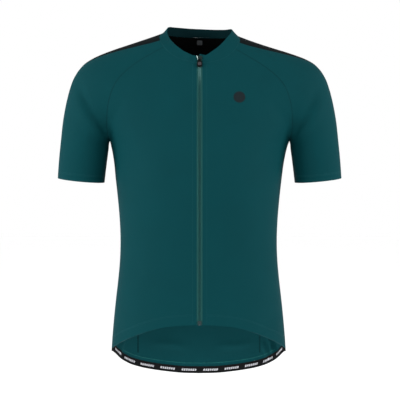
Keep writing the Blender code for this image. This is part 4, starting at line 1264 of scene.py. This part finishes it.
@dataclass(frozen=True)
class HemBand:
    """Elastic band along the back hem, the grip bars in it and the stitches over it."""

    cut: tuple[float, float] = (0.52, 0.02)
    height: float = 15.0 * MM
    rows: int = 6
    wall: float = 1.8 * MM
    groups: int = 10
    group_pitch: float = 48.0 * MM
    bars: int = 7
    bar_pitch: float = 4.8 * MM
    bar_start: float = -16.2 * MM
    bar_length: float = 3.4 * MM
    bar_ends: tuple[float, float] = (9.7, 5.3)  # foot and head of a bar below the band's top (mm)
    slant: float = 0.25  # how far a bar leans aside for each metre down
    slant_middle: float = 7.5 * MM
    bar_wall: float = 0.5 * MM
    bar_lift: float = -1.7 * MM
    bar_points: int = 4  # along a bar, and across it
    row_above: float = 7.5 * MM  # height of the stitches over the band's top
    row_reach: float = 166.0 * MM
    row_samples: int = 300
    row_thread: float = 0.4 * MM

    def build(self) -> None:
        """Build the band, its grip bars and the row of stitches above it."""
        self.band()
        self.grippers()
        across = np.linspace(-self.row_reach, self.row_reach, self.row_samples)
        level = Curve.of(BACK_HEM).at(np.abs(across)) + self.row_above
        row = face_line(across, level, BACK, CLOTH_WALL)
        Sewing(radius=self.row_thread).sew("band_stitches", [row], PALE_THREAD)

    def band(self) -> None:
        """Band below the back's lowest row, as wide as the form at each height."""
        top = LAYOUT.whole_back()[0]
        rows = []
        for drop in np.linspace(self.height, 0.0, self.rows + 1):
            level = top[:, 1] - drop
            spread = FORM.trunk_width(level) / FORM.trunk_width(top[:, 1])
            rows.append(np.stack([top[:, 0] * spread, level], axis=1))
        patch = Patch.cloth(np.array(rows), BACK, self.wall)
        piece = ClothPiece("hem_band", BLACK_ELASTIC, self.cut, (patch.outer[-1].copy(),))
        piece.build([patch.shrink(FAR_EDGE, NEAR_EDGE, TOP_EDGE)])

    def grippers(self) -> None:
        """Groups of short slanted silicone bars inside the band, an even distance apart."""
        top = LAYOUT.whole_back()[0]
        far = travelled(FORM.skin(top, BACK)[0])
        far -= far[-1] / 2.0
        drops = np.linspace(*self.bar_ends, self.bar_points)[:, None] * MM
        patches = []
        for middle in (np.arange(self.groups) - (self.groups - 1) / 2.0) * self.group_pitch:
            for start in np.arange(self.bars) * self.bar_pitch + self.bar_start:
                where = middle + start + np.linspace(0.0, self.bar_length, self.bar_points)
                view = look_up(where - self.slant * (drops - self.slant_middle), far, top)
                view[..., 1] -= drops
                patches.append(Patch.cloth(view, BACK, self.bar_wall, self.bar_lift))
        ClothPiece("hem_grippers", GRIPPER, in_solids=False).build(patches)


@dataclass(frozen=True)
class Sleeves:
    """Raglan sleeves, the black inserts on their ridges and the cuffs' stitches."""

    sleeve_cut: tuple[float, float] = (0.42, 0.42)
    band_cut: tuple[float, float] = (0.08, 0.21)
    tilt: float = 0.075  # rise of the cuff's edge towards the back, per metre of depth
    tilt_level: float = -250.0 * MM
    tilt_fade: float = 50.0 * MM
    tip_back: float = 1.2 * MM
    cuff_rows: tuple[float, float] = (13.0, 15.5)  # height of the stitches over the edge (mm)
    cuff_grid: tuple[int, int] = (4, 6)  # rows of the grid below and above the stitches

    def build(self) -> None:
        """Build both sleeves and inserts, and sew the cuffs."""
        cuffs = [lines for flank in Flank for lines in self.sleeve(flank)]
        for number, lines in enumerate(cuffs):
            SEWING.sew(f"cuff_stitches_{number + 1}", lines)

    def sleeve(self, flank: Flank) -> list[list[Line]]:
        """Sleeve and insert of one side.

        Args:
            flank: Wearer's side.

        Returns:
            The lines of the cuff's stitches, for its front and back halves.
        """
        patches, bands, seams, band_seams, cuffs = [], [], [], [], []
        first = LAYOUT.sleeve_rows
        for side in Side:
            view, band_view = LAYOUT.sleeve(side)
            tip = len(view) - len(band_view)
            patch = Patch.cloth(mirrored(view, flank), side)
            self.tilt_cuff(patch)
            seams += [patch.outer[first:, -1].copy(), patch.outer[tip:, 0].copy()]
            cuffs.append(self.cuff_lines(patch))
            patch.shrink(
                ((slice(first + 1, None), -1), (slice(first + 1, None), -2)),
                ((first, -1), (first - 1, -1)),
                ((slice(tip + 1, None), 0), (slice(tip + 1, None), 1)),
                TOP_EDGE,
            )
            patches.append(patch if side is FRONT else patch.flipped())
            band = Patch.cloth(mirrored(band_view, flank), side)
            band_seams += [band.outer[:, -1].copy(), band.outer[-1].copy()]
            for layer in (band.outer, band.inner):
                layer[0] += unit(layer[1, 0] - layer[0, 0]) * self.tip_back
            band.shrink(((slice(1, None), -1), (slice(1, None), -2)), TOP_EDGE)
            bands.append(band if side is FRONT else band.flipped())
        ClothPiece(flank_name("sleeve", flank), PETROL_KNIT, self.sleeve_cut, tuple(seams)).build(patches)
        name = flank_name("shoulder_band", flank)
        ClothPiece(name, BLACK_KNIT, self.band_cut, tuple(band_seams)).build(bands)
        return cuffs

    def tilt_cuff(self, patch: Patch) -> None:
        """Tilt the end of a sleeve, in place, more towards the cuff.

        Args:
            patch: Half of the sleeve.
        """
        for layer in (patch.outer, patch.inner):
            share = np.clip((self.tilt_level - layer[..., 2]) / self.tilt_fade, 0.0, 1.0)
            layer[..., 2] += self.tilt * layer[..., 1] * share

    def cuff_lines(self, patch: Patch) -> list[Line]:
        """Lines of the stitches round half a cuff.

        Args:
            patch: Half of the sleeve.

        Returns:
            Two lines with their outward directions.
        """
        edge, (low, high) = patch.outer[0], (patch.outer[row] for row in self.cuff_grid)
        height = ((low - edge) * unit(high - edge)).sum(axis=1, keepdims=True)
        out = low - patch.inner[self.cuff_grid[0]]
        return [(low + unit(high - low) * (above * MM - height), out) for above in self.cuff_rows]


@dataclass(frozen=True)
class Collar:
    """Stand collar, with a black half-moon of painted shade and the blank label inside the back of the neck.
    """

    cut: tuple[float, float] = (0.48, 0.05)
    half_width: float = 70.0 * MM
    front_depth: float = 63.5 * MM
    back_depth: float = 64.0 * MM
    wall: float = 1.8 * MM
    seam_gap: float = 0.03 * MM
    ripple_share: float = 0.75  # the ripples' height is a sine over this share of half a turn
    row_above: float = 2.0 * MM  # height of the stitches over the collar seam
    # Black half-moon of painted shade inside the back of the neck:
    shade_sheet_cut: tuple[float, float] = (0.17, 0.085)
    shade_sheet_half: float = 70.0
    shade_sheet_top: float = 5.9
    shade_sheet_drop: float = 75.0
    shade_sheet_round: float = 0.98  # 1 would bring the half-moon to nothing at its two ends
    shade_sheet_grid: tuple[int, int] = (25, 49)  # rows and columns of points
    shade_sheet_wall: float = 0.5 * MM
    shade_sheet_lift: float = -1.5 * MM
    label_cut: tuple[float, float] = (0.0122, 0.0101)
    label_middle: tuple[float, float] = (0.0, -3.5)
    label_half: tuple[float, float] = (6.0, 4.9)
    label_power: float = 6.0
    label_wall: float = 0.4 * MM
    label_lift: float = -2.05 * MM

    def build(self) -> None:
        """Build the collar with painted shade on its inner face, its stitches, the black half-moon of
        painted shade and the label.
        """
        patch = self.patch()
        # The collar's inner face is painted darker: painted shade.
        ClothPiece("collar", PETROL_KNIT, self.cut, shaded_inside=PETROL_SHADED_INSIDE).build([patch])
        line = patch.outer[0] + unit(patch.outer[1] - patch.outer[0]) * self.row_above
        SEWING.sew("collar_stitches", [(line, patch.outer[0] - patch.inner[0])])
        self.shade_sheet()
        self.label()

    def seam(self) -> np.ndarray:
        """Collar seam on the form, from the zip round the wearer's left to the back.

        Returns:
            Points of the seam.
        """
        (front, front_band), (back, back_band) = LAYOUT.sleeve(FRONT), LAYOUT.sleeve(BACK)
        before = [LAYOUT.panel(FRONT)[-1], front[-1, ::-1][1:], front_band[-1, ::-1][1:]]
        behind = [back_band[-1, 1:], back[-1, 1:], LAYOUT.panel(BACK)[-1, ::-1][1:]]
        halves = ((before, FRONT), (behind, BACK))
        return np.concatenate([FORM.skin(np.concatenate(rows), side)[0] for rows, side in halves])

    def patch(self) -> Patch:
        """Both faces of the collar, wearer's left zip end first.

        Each column runs straight from the collar seam to the top edge, an ellipse in
        plan whose height follows the table; the inner face is one wall inside.

        Returns:
            The patch, lowest row first.
        """
        seam = self.seam()
        depth = np.where(seam[:, 1] < 0.0, self.front_depth, self.back_depth)
        angle = np.arctan2(seam[:, 0] / self.half_width, -seam[:, 1] / depth)
        degrees = np.degrees(angle)
        tables = (np.array(rows).T for rows in (COLLAR_TOP, COLLAR_RISE))
        level, rise = (Curve(turns, heights * MM).at(degrees) for turns, heights in tables)
        top = np.stack([self.half_width * np.sin(angle), -depth * np.cos(angle), level], axis=1)
        top[0, 0] = LAYOUT.zip_half
        raised = top.copy()
        raised[:, 2] += rise
        shares = np.linspace(0.0, 1.0, LAYOUT.collar_rows + 1)[:, None, None]
        left, right = (seam + (edge - seam) * shares for edge in (raised, top))
        ring = np.concatenate([left, mirrored(right[:, -2::-1], Flank.RIGHT)], axis=1)
        normal = unit(np.cross(np.gradient(ring, axis=1), np.gradient(ring, axis=0)))
        around = np.concatenate([degrees, -degrees[-2::-1]])
        ripple = sum(up * MM * np.exp(-(((around - at) / wide) ** 2)) for at, wide, up in COLLAR_RIPPLES)
        ring = ring + normal * (ripple * np.sin(self.ripple_share * np.pi * shares[..., 0]))[..., None]
        return Patch(ring, ring - normal * self.wall).shrink(LOW_EDGE, amount=self.seam_gap)

    def shade_sheet(self) -> None:
        """Black half-moon sheet inside the back of the neck: painted shade, standing for the deep shade
        there.
        """
        rows, columns = self.shade_sheet_grid
        across = np.linspace(-1.0, 1.0, columns)
        drop = self.shade_sheet_drop * np.sqrt(1.0 - self.shade_sheet_round * across**2)
        share = np.linspace(0.0, 1.0, rows)[:, None]
        view = np.broadcast_arrays(self.shade_sheet_half * across, self.shade_sheet_top - drop * share)
        patch = Patch.cloth(np.stack(view, axis=-1) * MM, BACK, self.shade_sheet_wall, self.shade_sheet_lift)
        ClothPiece("neck_facing", NECK_SHADE_BLACK, self.shade_sheet_cut, in_solids=False).build([patch])

    def label(self) -> None:
        """Blank label on the black half-moon."""
        view = rounded_view(self.label_middle, self.label_half, self.label_power)
        patch = Patch.cloth(view, BACK, self.label_wall, self.label_lift)
        ClothPiece("nape_label", LABEL_GREY, self.label_cut, in_solids=False).build([patch])


@dataclass(frozen=True)
class ChestDisc:
    """Plain disc on the wearer's left chest."""

    middle: tuple[float, float] = (82.3, -133.0)
    half: tuple[float, float] = (12.0, 12.0)
    wall: float = 0.4 * MM
    lift: float = 0.3 * MM

    def build(self) -> None:
        """Build the disc."""
        patch = Patch.cloth(rounded_view(self.middle, self.half, 2.0), FRONT, self.wall, self.lift)
        ClothPiece("chest_disc", DISC_FILM, in_solids=False).build([patch])


@dataclass(frozen=True)
class Zip:
    """Full-length coil zip under the edges of the fronts and collar."""

    collar: Patch
    collar_columns: int = 30  # of the collar, that cover the tape
    past_rows: int = 8  # how many rows of the collar the last row goes past its top
    tape_cut: tuple[float, float] = (0.0132, 0.59)
    tape_columns: tuple[float, ...] = (0.15, 1.5, 3.0, 4.5, 6.0, 9.5, 13.0)
    tape_rows: int = 140
    tape_half: float = 13.0 * MM
    tape_lift: float = -0.3 * MM
    tape_wall: float = 1.0 * MM
    hem_end: float = -603.0 * MM
    top_end: float = -46.8 * MM
    coil_low: float = -594.0 * MM
    coil_past: float = 0.5 * MM
    coil_samples: int = 1200
    coil_middle: float = 1.5 * MM
    coil_reach: float = 1.3 * MM
    coil_out: float = 0.75 * MM
    coil_rise: float = 0.62 * MM
    wire: float = 0.28 * MM
    pitch: float = 1.25 * MM
    turn_points: int = 12
    wire_sides: int = 6
    guard_cut: tuple[float, float] = (0.0138, 0.03)
    guard_ends: tuple[float, float] = (-1.0, 12.5)
    guard_low: float = -65.0 * MM
    guard_high: float = -40.5 * MM
    guard_round: float = 2.5  # drop of its upper corners (mm)
    guard_power: int = 5  # how tight they are
    guard_slope: float = 3.5  # drop of its top away from the zip (mm)
    guard_grid: tuple[int, int] = (25, 15)  # rows and columns of points
    guard_gap: float = 0.3 * MM
    guard_wall: float = 1.3 * MM

    def build(self) -> None:
        """Build the tapes, the two rows of the coil and the guard."""
        for flank in Flank:
            self.tape(flank)
            self.coil(flank)
        self.guard()

    def edges(self) -> tuple[np.ndarray, np.ndarray, np.ndarray]:
        """Lines of the cloth's inner face beside the zip.

        Rows climb from the hem over the front and the collar, and one goes past the top.

        Returns:
            Points at the zip's edge and at the tape's far edge, and the outward direction.
        """
        level = LAYOUT.panel(FRONT)[:-1, 0, 1]
        sides, normals = [], []
        for across in (LAYOUT.zip_half, self.tape_half):
            point, normal = FORM.skin(np.stack([np.full(len(level), across), level], axis=1), FRONT)
            rows = [look_up(across, row[:, 0], row) for row in self.collar.inner[:, : self.collar_columns]]
            sides.append(np.concatenate([point - normal * CLOTH_WALL, np.array(rows)]))
            normals.append(normal)
        out = np.concatenate([normals[0], self.collar.outer[:, 0] - self.collar.inner[:, 0]])
        out[:, 0] = 0.0
        out = unit(out)
        back = slice(-1 - self.past_rows, -self.past_rows)
        near, far = (np.concatenate([line, line[-1:] + (line[-1:] - line[back])]) for line in sides)
        return near, far, np.concatenate([out, out[-1:]])

    def at_level(self, level: np.ndarray) -> list[np.ndarray]:
        """The lines of edges() at some heights.

        Args:
            level: Heights, in any grid.

        Returns:
            Points of the near edge and the far edge, and the outward direction.
        """
        lines = self.edges()
        return [look_up(level, lines[0][:, 2], line) for line in lines]

    def strip(self, across: np.ndarray, level: np.ndarray, lift: float) -> np.ndarray:
        """Points beside the zip, lifted from the inner face of the fronts.

        Args:
            across: Distance from the zip's middle of each column.
            level: Height of each point, in rows and columns.
            lift: Height over the inner face.

        Returns:
            Points (row, column, axis).
        """
        near, far, out = self.at_level(level)
        share = np.maximum(across - LAYOUT.zip_half, 0.0) / (self.tape_half - LAYOUT.zip_half)
        points = near + (far - near) * share[:, None] + out * lift
        points[..., 0] = across
        return points

    def tape(self, flank: Flank) -> None:
        """Woven tape behind the edge of a front.

        Args:
            flank: Wearer's side.
        """
        across = np.array(self.tape_columns) * MM
        level = np.linspace(self.hem_end, self.top_end, self.tape_rows + 1)[:, None] + np.zeros(len(across))
        layers = [self.strip(across, level, self.tape_lift - wall) for wall in (0.0, self.tape_wall)]
        patch = Patch(*(mirrored(layer, flank) for layer in layers))
        ClothPiece(flank_name("zip_tape", flank), ZIP_TAPE, self.tape_cut).build([patch])

    def coil(self, flank: Flank) -> None:
        """One row of the coil: a flattened helix of wire.

        At the angle t the wire's middle is 1.5 + 1.3 cos t mm across and
        0.75 + 0.62 sin t mm out, and each turn climbs one pitch.

        Args:
            flank: Wearer's side.
        """
        level = np.linspace(self.coil_low, self.top_end + self.coil_past, self.coil_samples)
        climbed = travelled(self.at_level(level)[0])
        even = np.arange(0.0, climbed[-1], self.pitch / self.turn_points)
        foot, _, out = self.at_level(np.interp(even, climbed, level))
        foot[:, 0] = 0.0
        turn = FULL_TURN * even / self.pitch + (math.pi if flank is Flank.RIGHT else 0.0)
        aside = np.array([[float(flank.value), 0.0, 0.0]])
        reach = aside * (self.coil_middle + self.coil_reach * np.cos(turn))[:, None]
        middle = foot + reach + out * (self.coil_out + self.coil_rise * np.sin(turn))[:, None]
        radial = aside * np.cos(turn)[:, None] + out * np.sin(turn)[:, None]
        along = unit(np.gradient(middle, axis=0))
        rings = middle[:, None] + self.wire * ring_directions(along, radial, self.wire_sides)
        name = flank_name("zip_coil", flank)
        add_tubes(name, rings[None], ZIP_COIL, name)

    def guard(self) -> None:
        """Small cloth tab behind the top of the zip, rounded at its upper corners."""
        rows, columns = self.guard_grid
        across = np.linspace(*self.guard_ends, columns) * MM
        rounding = np.abs(np.linspace(-1.0, 1.0, columns)) ** self.guard_power * self.guard_round
        corner = (rounding + np.linspace(0.0, self.guard_slope, columns)) * MM
        share = np.linspace(0.0, 1.0, rows)[:, None]
        level = self.guard_low + (self.guard_high - corner - self.guard_low) * share
        lift = self.tape_lift - self.tape_wall - self.guard_gap
        patch = Patch(*(self.strip(across, level, lift - wall) for wall in (0.0, self.guard_wall)))
        ClothPiece("zip_guard", PETROL_KNIT, self.guard_cut).build([patch])


@dataclass(frozen=True)
class Slider:
    """What is added to the slider and its pull tab: the wire with its painted highlight, and the inlay."""

    zip_line: Zip
    bail_across: tuple[float, float] = (-6.3, -2.5)
    bail_level: tuple[float, float] = (-46.6, -55.8)
    bail_lift: float = 4.15 * MM
    bail_bend: float = 0.45 * MM
    bail_wire: float = 0.55 * MM
    bail_tip: float = 0.4  # share of the wire's radius at its ends
    bail_swell: float = 3.0  # how fast it swells to the full radius
    bail_points: int = 12
    bail_sides: int = 10
    tab_lean: float = math.radians(10.0)
    inlay_middle: tuple[float, float, float] = (0.0, -71.52, -62.6)
    inlay_half: tuple[float, float] = (3.7, 3.3)
    inlay_power: float = 0.6
    inlay_sides: int = 48
    inlay_rings: Table = ((1.0, -0.2), (1.0, 0.2), (0.94, 0.35))  # size, height (mm)

    def build(self) -> None:
        """Build the bail and the inlay."""
        self.bail()
        self.inlay()

    def bail(self) -> None:
        """Pale wire laid slantwise on the slider, bent like one wave and thin at its ends; its paleness is
        partly a painted highlight.
        """
        level = np.linspace(*self.bail_level, self.bail_points) * MM
        turn = np.linspace(0.0, math.pi, self.bail_points)
        across = np.linspace(*self.bail_across, self.bail_points) * MM
        foot, _, out = self.zip_line.at_level(level)
        foot[:, 0] = across + self.bail_bend * np.sin(2.0 * turn)
        line = foot + out * self.bail_lift
        full = np.minimum(1.0, self.bail_tip + self.bail_swell * np.sin(turn))
        size = self.bail_wire * full[:, None, None]
        along = unit(np.gradient(line, axis=0))
        rings = line[:, None] + size * ring_directions(along, out, self.bail_sides)
        add_tubes("slider_bail", rings[None], BAIL_HIGHLIGHT_STEEL)

    def inlay(self) -> None:
        """Softer pad let into the face of the pull tab: rounded rings, the last one smaller."""
        down = np.array([0.0, -math.sin(self.tab_lean), -math.cos(self.tab_lean)])
        out = np.array([0.0, -math.cos(self.tab_lean), math.sin(self.tab_lean)])
        middle = np.array(self.inlay_middle) * MM
        turn = np.linspace(0.0, FULL_TURN, self.inlay_sides, endpoint=False)
        wave = np.stack([np.cos(turn), np.sin(turn)], axis=1)
        wave = np.sign(wave) * np.abs(wave) ** self.inlay_power * np.array(self.inlay_half) * MM
        ring = wave[:, :1] * np.array([[1.0, 0.0, 0.0]]) + wave[:, 1:] * down
        rings = np.array([middle + ring * size + out * rise * MM for size, rise in self.inlay_rings])
        mesh = tube_mesh("pull_inlay", rings[None, :, ::-1])
        add_piece("pull_inlay", mesh, PULL_INLAY, body=TAB_BODY)


@dataclass(frozen=True)
class HardPieces:
    """Finishes of the solids that are kept as they are."""

    finishes: tuple[tuple[str, Finish], ...] = (
        ("zip_stop", STOP_GREY),
        ("zip_slider", SLIDER_STEEL),
        ("zip_pull", PULL_CHARCOAL),
    )

    def build(self) -> None:
        """Give each solid its finish."""
        for name, finish in self.finishes:
            mesh = bpy.data.objects[name].data
            mesh.materials.clear()
            mesh.materials.append(finish.material())
            LOG.info("  %s: %s", name, finish.name)


@dataclass(frozen=True)
class Lamp:
    """Soft light: its place, its two sides and its watts."""

    name: str
    place: tuple[float, float, float]
    width: float
    depth: float
    power: float

    def build(self, aim: tuple[float, float, float]) -> None:
        """Add the light.

        Args:
            aim: Point that it faces.
        """
        data = bpy.data.lights.new(self.name, "AREA")
        data.shape = "RECTANGLE"
        data.size = self.width
        data.size_y = self.depth
        data.energy = self.power
        item = bpy.data.objects.new(self.name, data)
        item.location = self.place
        run = np.array(aim) - np.array(self.place)
        flat = math.hypot(run[0], run[1])
        item.rotation_euler = (math.atan2(flat, -run[2]), 0.0, math.atan2(run[1], run[0]) - math.pi / 2.0)
        bpy.context.scene.collection.objects.link(item)


@dataclass(frozen=True)
class Studio:
    """Plain pale room, soft lights and a level camera straight in front."""

    eye: tuple[float, float, float] = (0.00085, -3.2, -0.347)
    lens: float = 135.18
    sensor: float = 36.0
    floor_level: float = -1.15
    floor_half: float = 30.0
    aim: tuple[float, float, float] = (0.0, 0.0, -0.3)
    lamps: tuple[Lamp, ...] = (
        Lamp("key", (-3.0, -1.15, 0.9), 1.4, 1.4, 150.0),
        Lamp("fill", (3.0, -1.15, 0.9), 1.4, 1.4, 130.0),
        Lamp("low_front", (-0.9, -2.3, -1.05), 1.2, 1.2, 18.0),
        Lamp("under_hem", (0.0, 0.06, -0.87), 0.36, 0.12, 1.7),
    )

    def build(self) -> None:
        """Add the world, floor, lights and camera."""
        self.world()
        self.floor()
        for lamp in self.lamps:
            lamp.build(self.aim)
        self.camera()

    def world(self) -> None:
        """White surroundings."""
        world = bpy.data.worlds.new("studio")
        world.use_nodes = True
        world.node_tree.nodes["Background"].inputs["Color"].default_value = srgb("#FFFFFF")
        world.node_tree.nodes["Background"].inputs["Strength"].default_value = 1.0
        bpy.context.scene.world = world

    def floor(self) -> None:
        """Pale floor under the jersey."""
        mesh = bpy.data.meshes.new("floor")
        half = self.floor_half
        corners = [(-half, -half, 0.0), (half, -half, 0.0), (half, half, 0.0), (-half, half, 0.0)]
        mesh.from_pydata(corners, [], [(0, 1, 2, 3)])
        mesh.materials.append(Finish("pale_floor", "", "#FFFFFF", 0.9).material())
        floor = bpy.data.objects.new("floor", mesh)
        floor.location = (0.0, 0.0, self.floor_level)
        bpy.context.scene.collection.objects.link(floor)

    def camera(self) -> None:
        """Level camera straight in front."""
        data = bpy.data.cameras.new("camera")
        data.sensor_width = self.sensor
        data.lens = self.lens
        camera = bpy.data.objects.new("camera", data)
        camera.location = self.eye
        camera.rotation_euler = (math.radians(90.0), 0.0, 0.0)
        bpy.context.scene.collection.objects.link(camera)
        bpy.context.scene.camera = camera


def main() -> None:
    """Build the jersey in its studio, logging the faces of each piece and the cloth area of its cut pieces.
    """
    logging.basicConfig(level=logging.INFO, format="%(message)s")
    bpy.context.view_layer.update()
    collar = Collar()
    zip_line = Zip(collar.patch())
    cloth = (Trunk(), Sleeves(), HemBand(), collar, ChestDisc())
    for assembly in (*cloth, zip_line, Slider(zip_line), HardPieces(), Studio()):
        LOG.info("%s", type(assembly).__name__)
        assembly.build()
    scene = bpy.context.scene
    scene.view_settings.view_transform = "Standard"
    bpy.context.view_layer.update()


if __name__ == "__main__":
    main()
